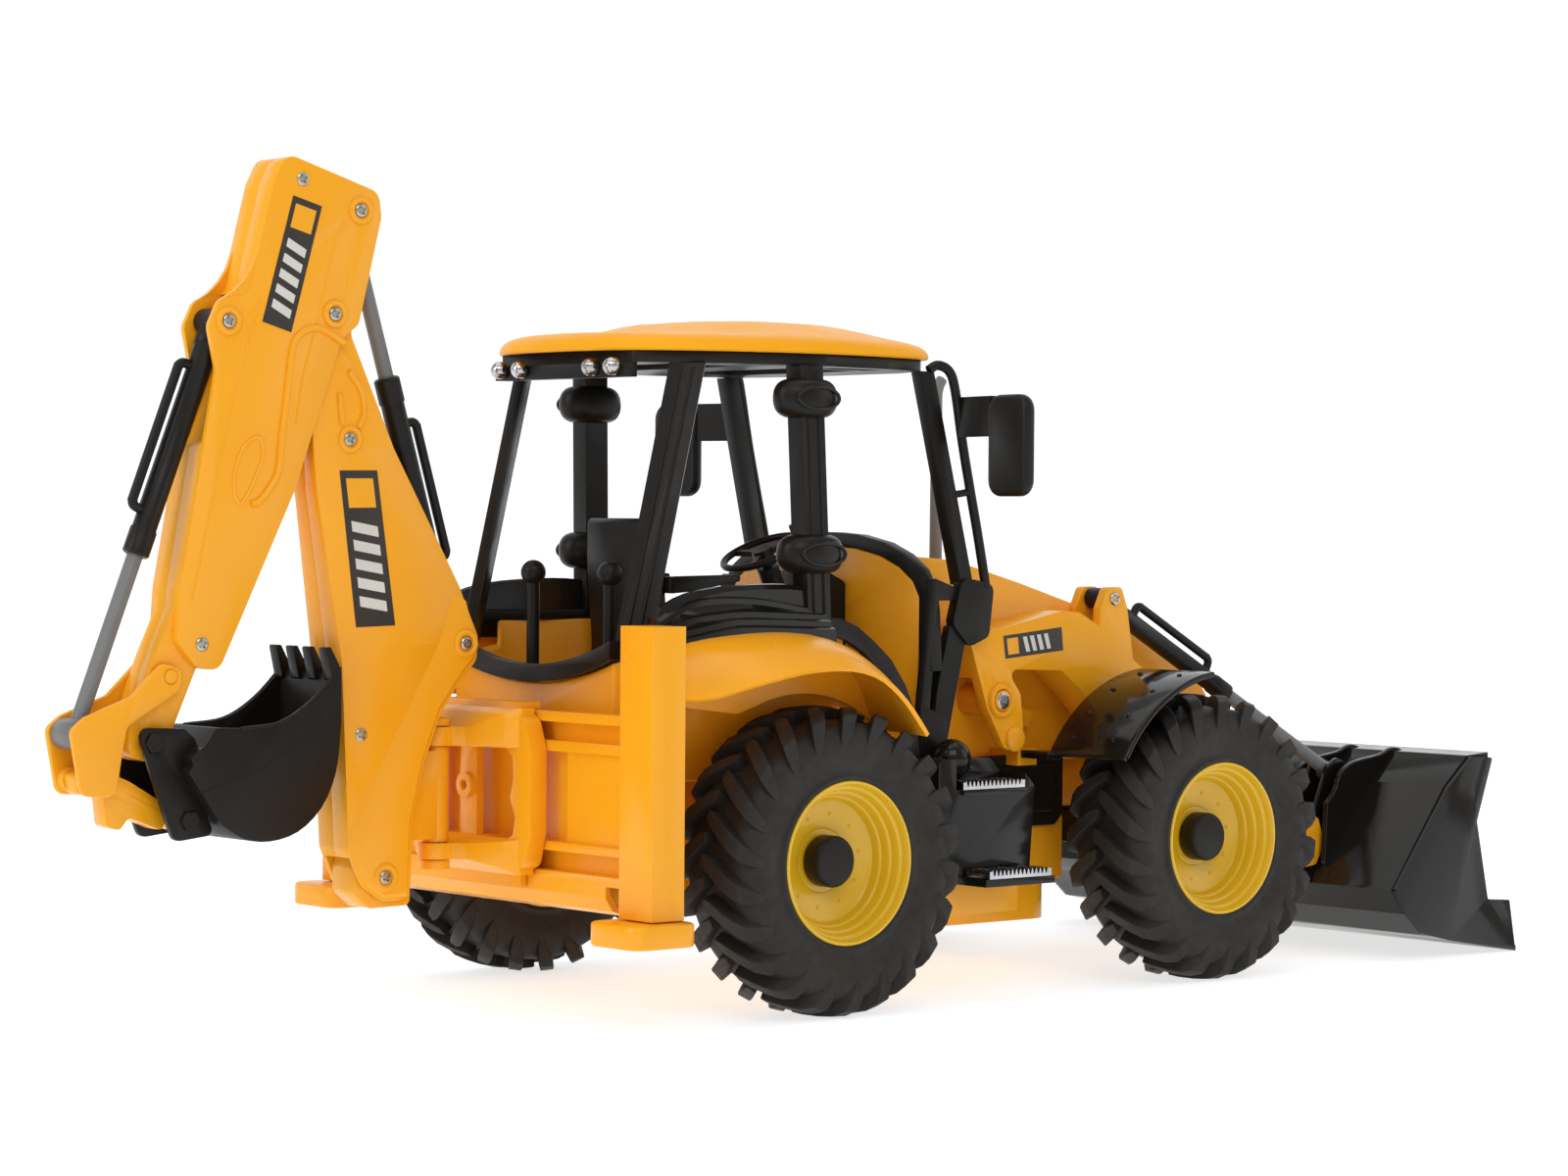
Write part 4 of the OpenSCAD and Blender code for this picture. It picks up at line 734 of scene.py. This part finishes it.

# Black plates with a raised field on the chassis sides behind the front wheels, painted shade for the deep
# shadow there, and serrated ribs on the step treads
SHADE_PLATE = [(87.0, 46.6), (87.0, 69.0), (127.6, 69.0), (127.6, 50.0), (124.2, 46.6)]
SHADE_PLATE_FIELD = [(92.0, 51.0), (92.0, 65.4), (122.0, 65.4), (122.0, 51.0)]
TREADS = ((56, 81, 60, 70, 61.8), (57.5, 82.5, 70, 80, 36.1))
TEETH = 15
shade_plates, teeth = bmesh.new(), bmesh.new()
for side in (-1, 1):
    slab(shade_plates, SHADE_PLATE, side * 37.8, side * 38.8)
    slab(shade_plates, SHADE_PLATE_FIELD, side * 38.6, side * 39.5)
    for x0, x1, y0, y1, z in TREADS:
        for k in range(TEETH):
            x = x0 + 1.2 + (x1 - x0 - 2.4) * k / (TEETH - 1)
            slab(teeth, [(x - 0.6, z + 0.7), (x + 0.6, z + 0.7), (x + 0.15, z + 2.4), (x - 0.15, z + 2.4)],
                 side * (y0 + 1.0), side * (y1 - 0.1))
# The black plates are painted shade: dark sheets standing where the chassis lies in shadow
add("chassis_painted_shade", shade_plates, BLACK, "machine", bevel=0.4)
add("step_tread_ribs", teeth, CHROME, "machine", smooth=False, limit=30)

# ---------------------------------------------------------------- CAD shapes with rounded edges

# Radius of the moulded edges in mm
EDGES = {
    "boom_shell_left": 0.9, "boom_shell_right": 0.9, "dipper_shell_left": 0.9, "dipper_shell_right": 0.9,
    "kingpost_carriage": 1.5, "swing_post": 0.6, "loader_arm": 0.8, "loader_bucket": 0.5,
    "digging_bucket": 0.5, "rear_frame": 0.5, "stabiliser_left": 0.8, "stabiliser_right": 0.8,
    "bonnet": 2.2, "cowl": 0.8, "cab_tub": 0.8, "cab_frame": 0.7, "mirrors": 1.2, "seat": 1.2,
    "steering_column": 1.0, "roof_liner": 0.5, "front_fenders": 0.5, "step_boxes": 0.8,
    "chassis_frame": 0.8, "front_axle": 0.5, "loader_towers": 0.6, "bucket_crank": 0.5, "bucket_link": 0.5,
    "dipper_ram_rod": 0.4, "bucket_ram_rod": 0.4, "tilt_ram_rods": 0.3, "rear_hub_caps": 0.6,
    "front_hub_cap_left": 0.6, "front_hub_cap_right": 0.6, "front_grille": 0.3,
}
GLOSSY = {"front_fenders", "step_boxes", "loader_bucket"}


def rising_floor(p):
    """The loading bucket's floor rises a little from its cutting edge backwards."""
    x, z = p.x / MM + MID_X, p.z / MM
    return Vector((p.x, p.y, p.z + 5.5 * MM * max(0.0, 1 - z / 22) * min(1.0, max(0.0, (294 - x) / 32))))


for node, width in EDGES.items():
    material = GLOSS if node in GLOSSY else FINISH[SLOT[node]]
    soften(node, material, width, shape=rising_floor if node == "loader_bucket" else None)

for node, o in frame["nodes"].items():
    o.data.materials.clear()
    o.data.materials.append(FINISH[SLOT[node]])

# ---------------------------------------------------------------- stage

FLOOR = plastic("floor", (0.46, 0.50, 0.55), (0.48, 0.52, 0.57), (0.6, 0.7), 3.0, bump=0.0,
                Specular_IOR_Level=0.2, Emission_Color=(1, 1, 0.99, 1), Emission_Strength=0.72)
bm = bmesh.new()
sweep = [(-9.0, 0.0), (1.6, 0.0), (2.2, 0.06), (2.7, 0.35), (2.95, 0.9), (3.0, 3.2)]
rows = []
for d, z in sweep:
    rows.append([bm.verts.new((d * 0.652 + s * 0.758, d * 0.758 - s * 0.652, z)) for s in (-9.0, 9.0)])
for p, q in zip(rows, rows[1:]):
    bm.faces.new((p[0], p[1], q[1], q[0]))
me = bpy.data.meshes.new("floor")
bmesh.ops.recalc_face_normals(bm, faces=bm.faces[:])
bm.to_mesh(me)
bm.free()
me.materials.append(FLOOR)
for p in me.polygons:
    p.use_smooth = True
floor = bpy.data.objects.new("floor", me)
bpy.context.scene.collection.objects.link(floor)


def area_light(name, location, target, size, power):
    """A rectangular softbox aimed at a point."""
    d = bpy.data.lights.new(name, "AREA")
    d.shape = "RECTANGLE"
    d.size, d.size_y = size
    d.energy = power
    o = bpy.data.objects.new(name, d)
    o.location = location
    o.rotation_euler = (Vector(target) - Vector(location)).to_track_quat("-Z", "Y").to_euler()
    bpy.context.scene.collection.objects.link(o)


area_light("key", (-0.9, -1.5, 1.5), (0, 0, 0.1), (1.4, 1.0), 10)
area_light("side", (1.3, -1.2, 0.8), (0, 0, 0.1), (0.8, 1.2), 3)
area_light("rear", (-1.6, 0.2, 0.9), (0, 0, 0.1), (0.9, 1.2), 9)
area_light("top", (0.0, 0.2, 2.0), (0, 0, 0.1), (1.8, 1.8), 10)

world = bpy.data.worlds.new("studio")
world.use_nodes = True
world.node_tree.nodes["Background"].inputs["Color"].default_value = (1.0, 1.0, 1.0, 1.0)
world.node_tree.nodes["Background"].inputs["Strength"].default_value = 0.45
bpy.context.scene.world = world
bpy.context.scene.view_settings.view_transform = "Standard"

camera = bpy.data.cameras.new("camera")
camera.lens = 90.49
camera.sensor_width = 36.0
camera.clip_start = 0.01
view = bpy.data.objects.new("camera", camera)
RIGHT, UP, BACK = (0.7613, -0.6484, 0.0075), (0.0054, 0.0179, 0.9998), (-0.6484, -0.7611, 0.0171)
pose = Matrix([RIGHT, UP, BACK]).transposed().to_4x4()
pose.translation = at(-735.16, -916.58, 140.64)
view.matrix_world = pose
bpy.context.scene.collection.objects.link(view)
bpy.context.scene.camera = view

bpy.context.view_layer.update()
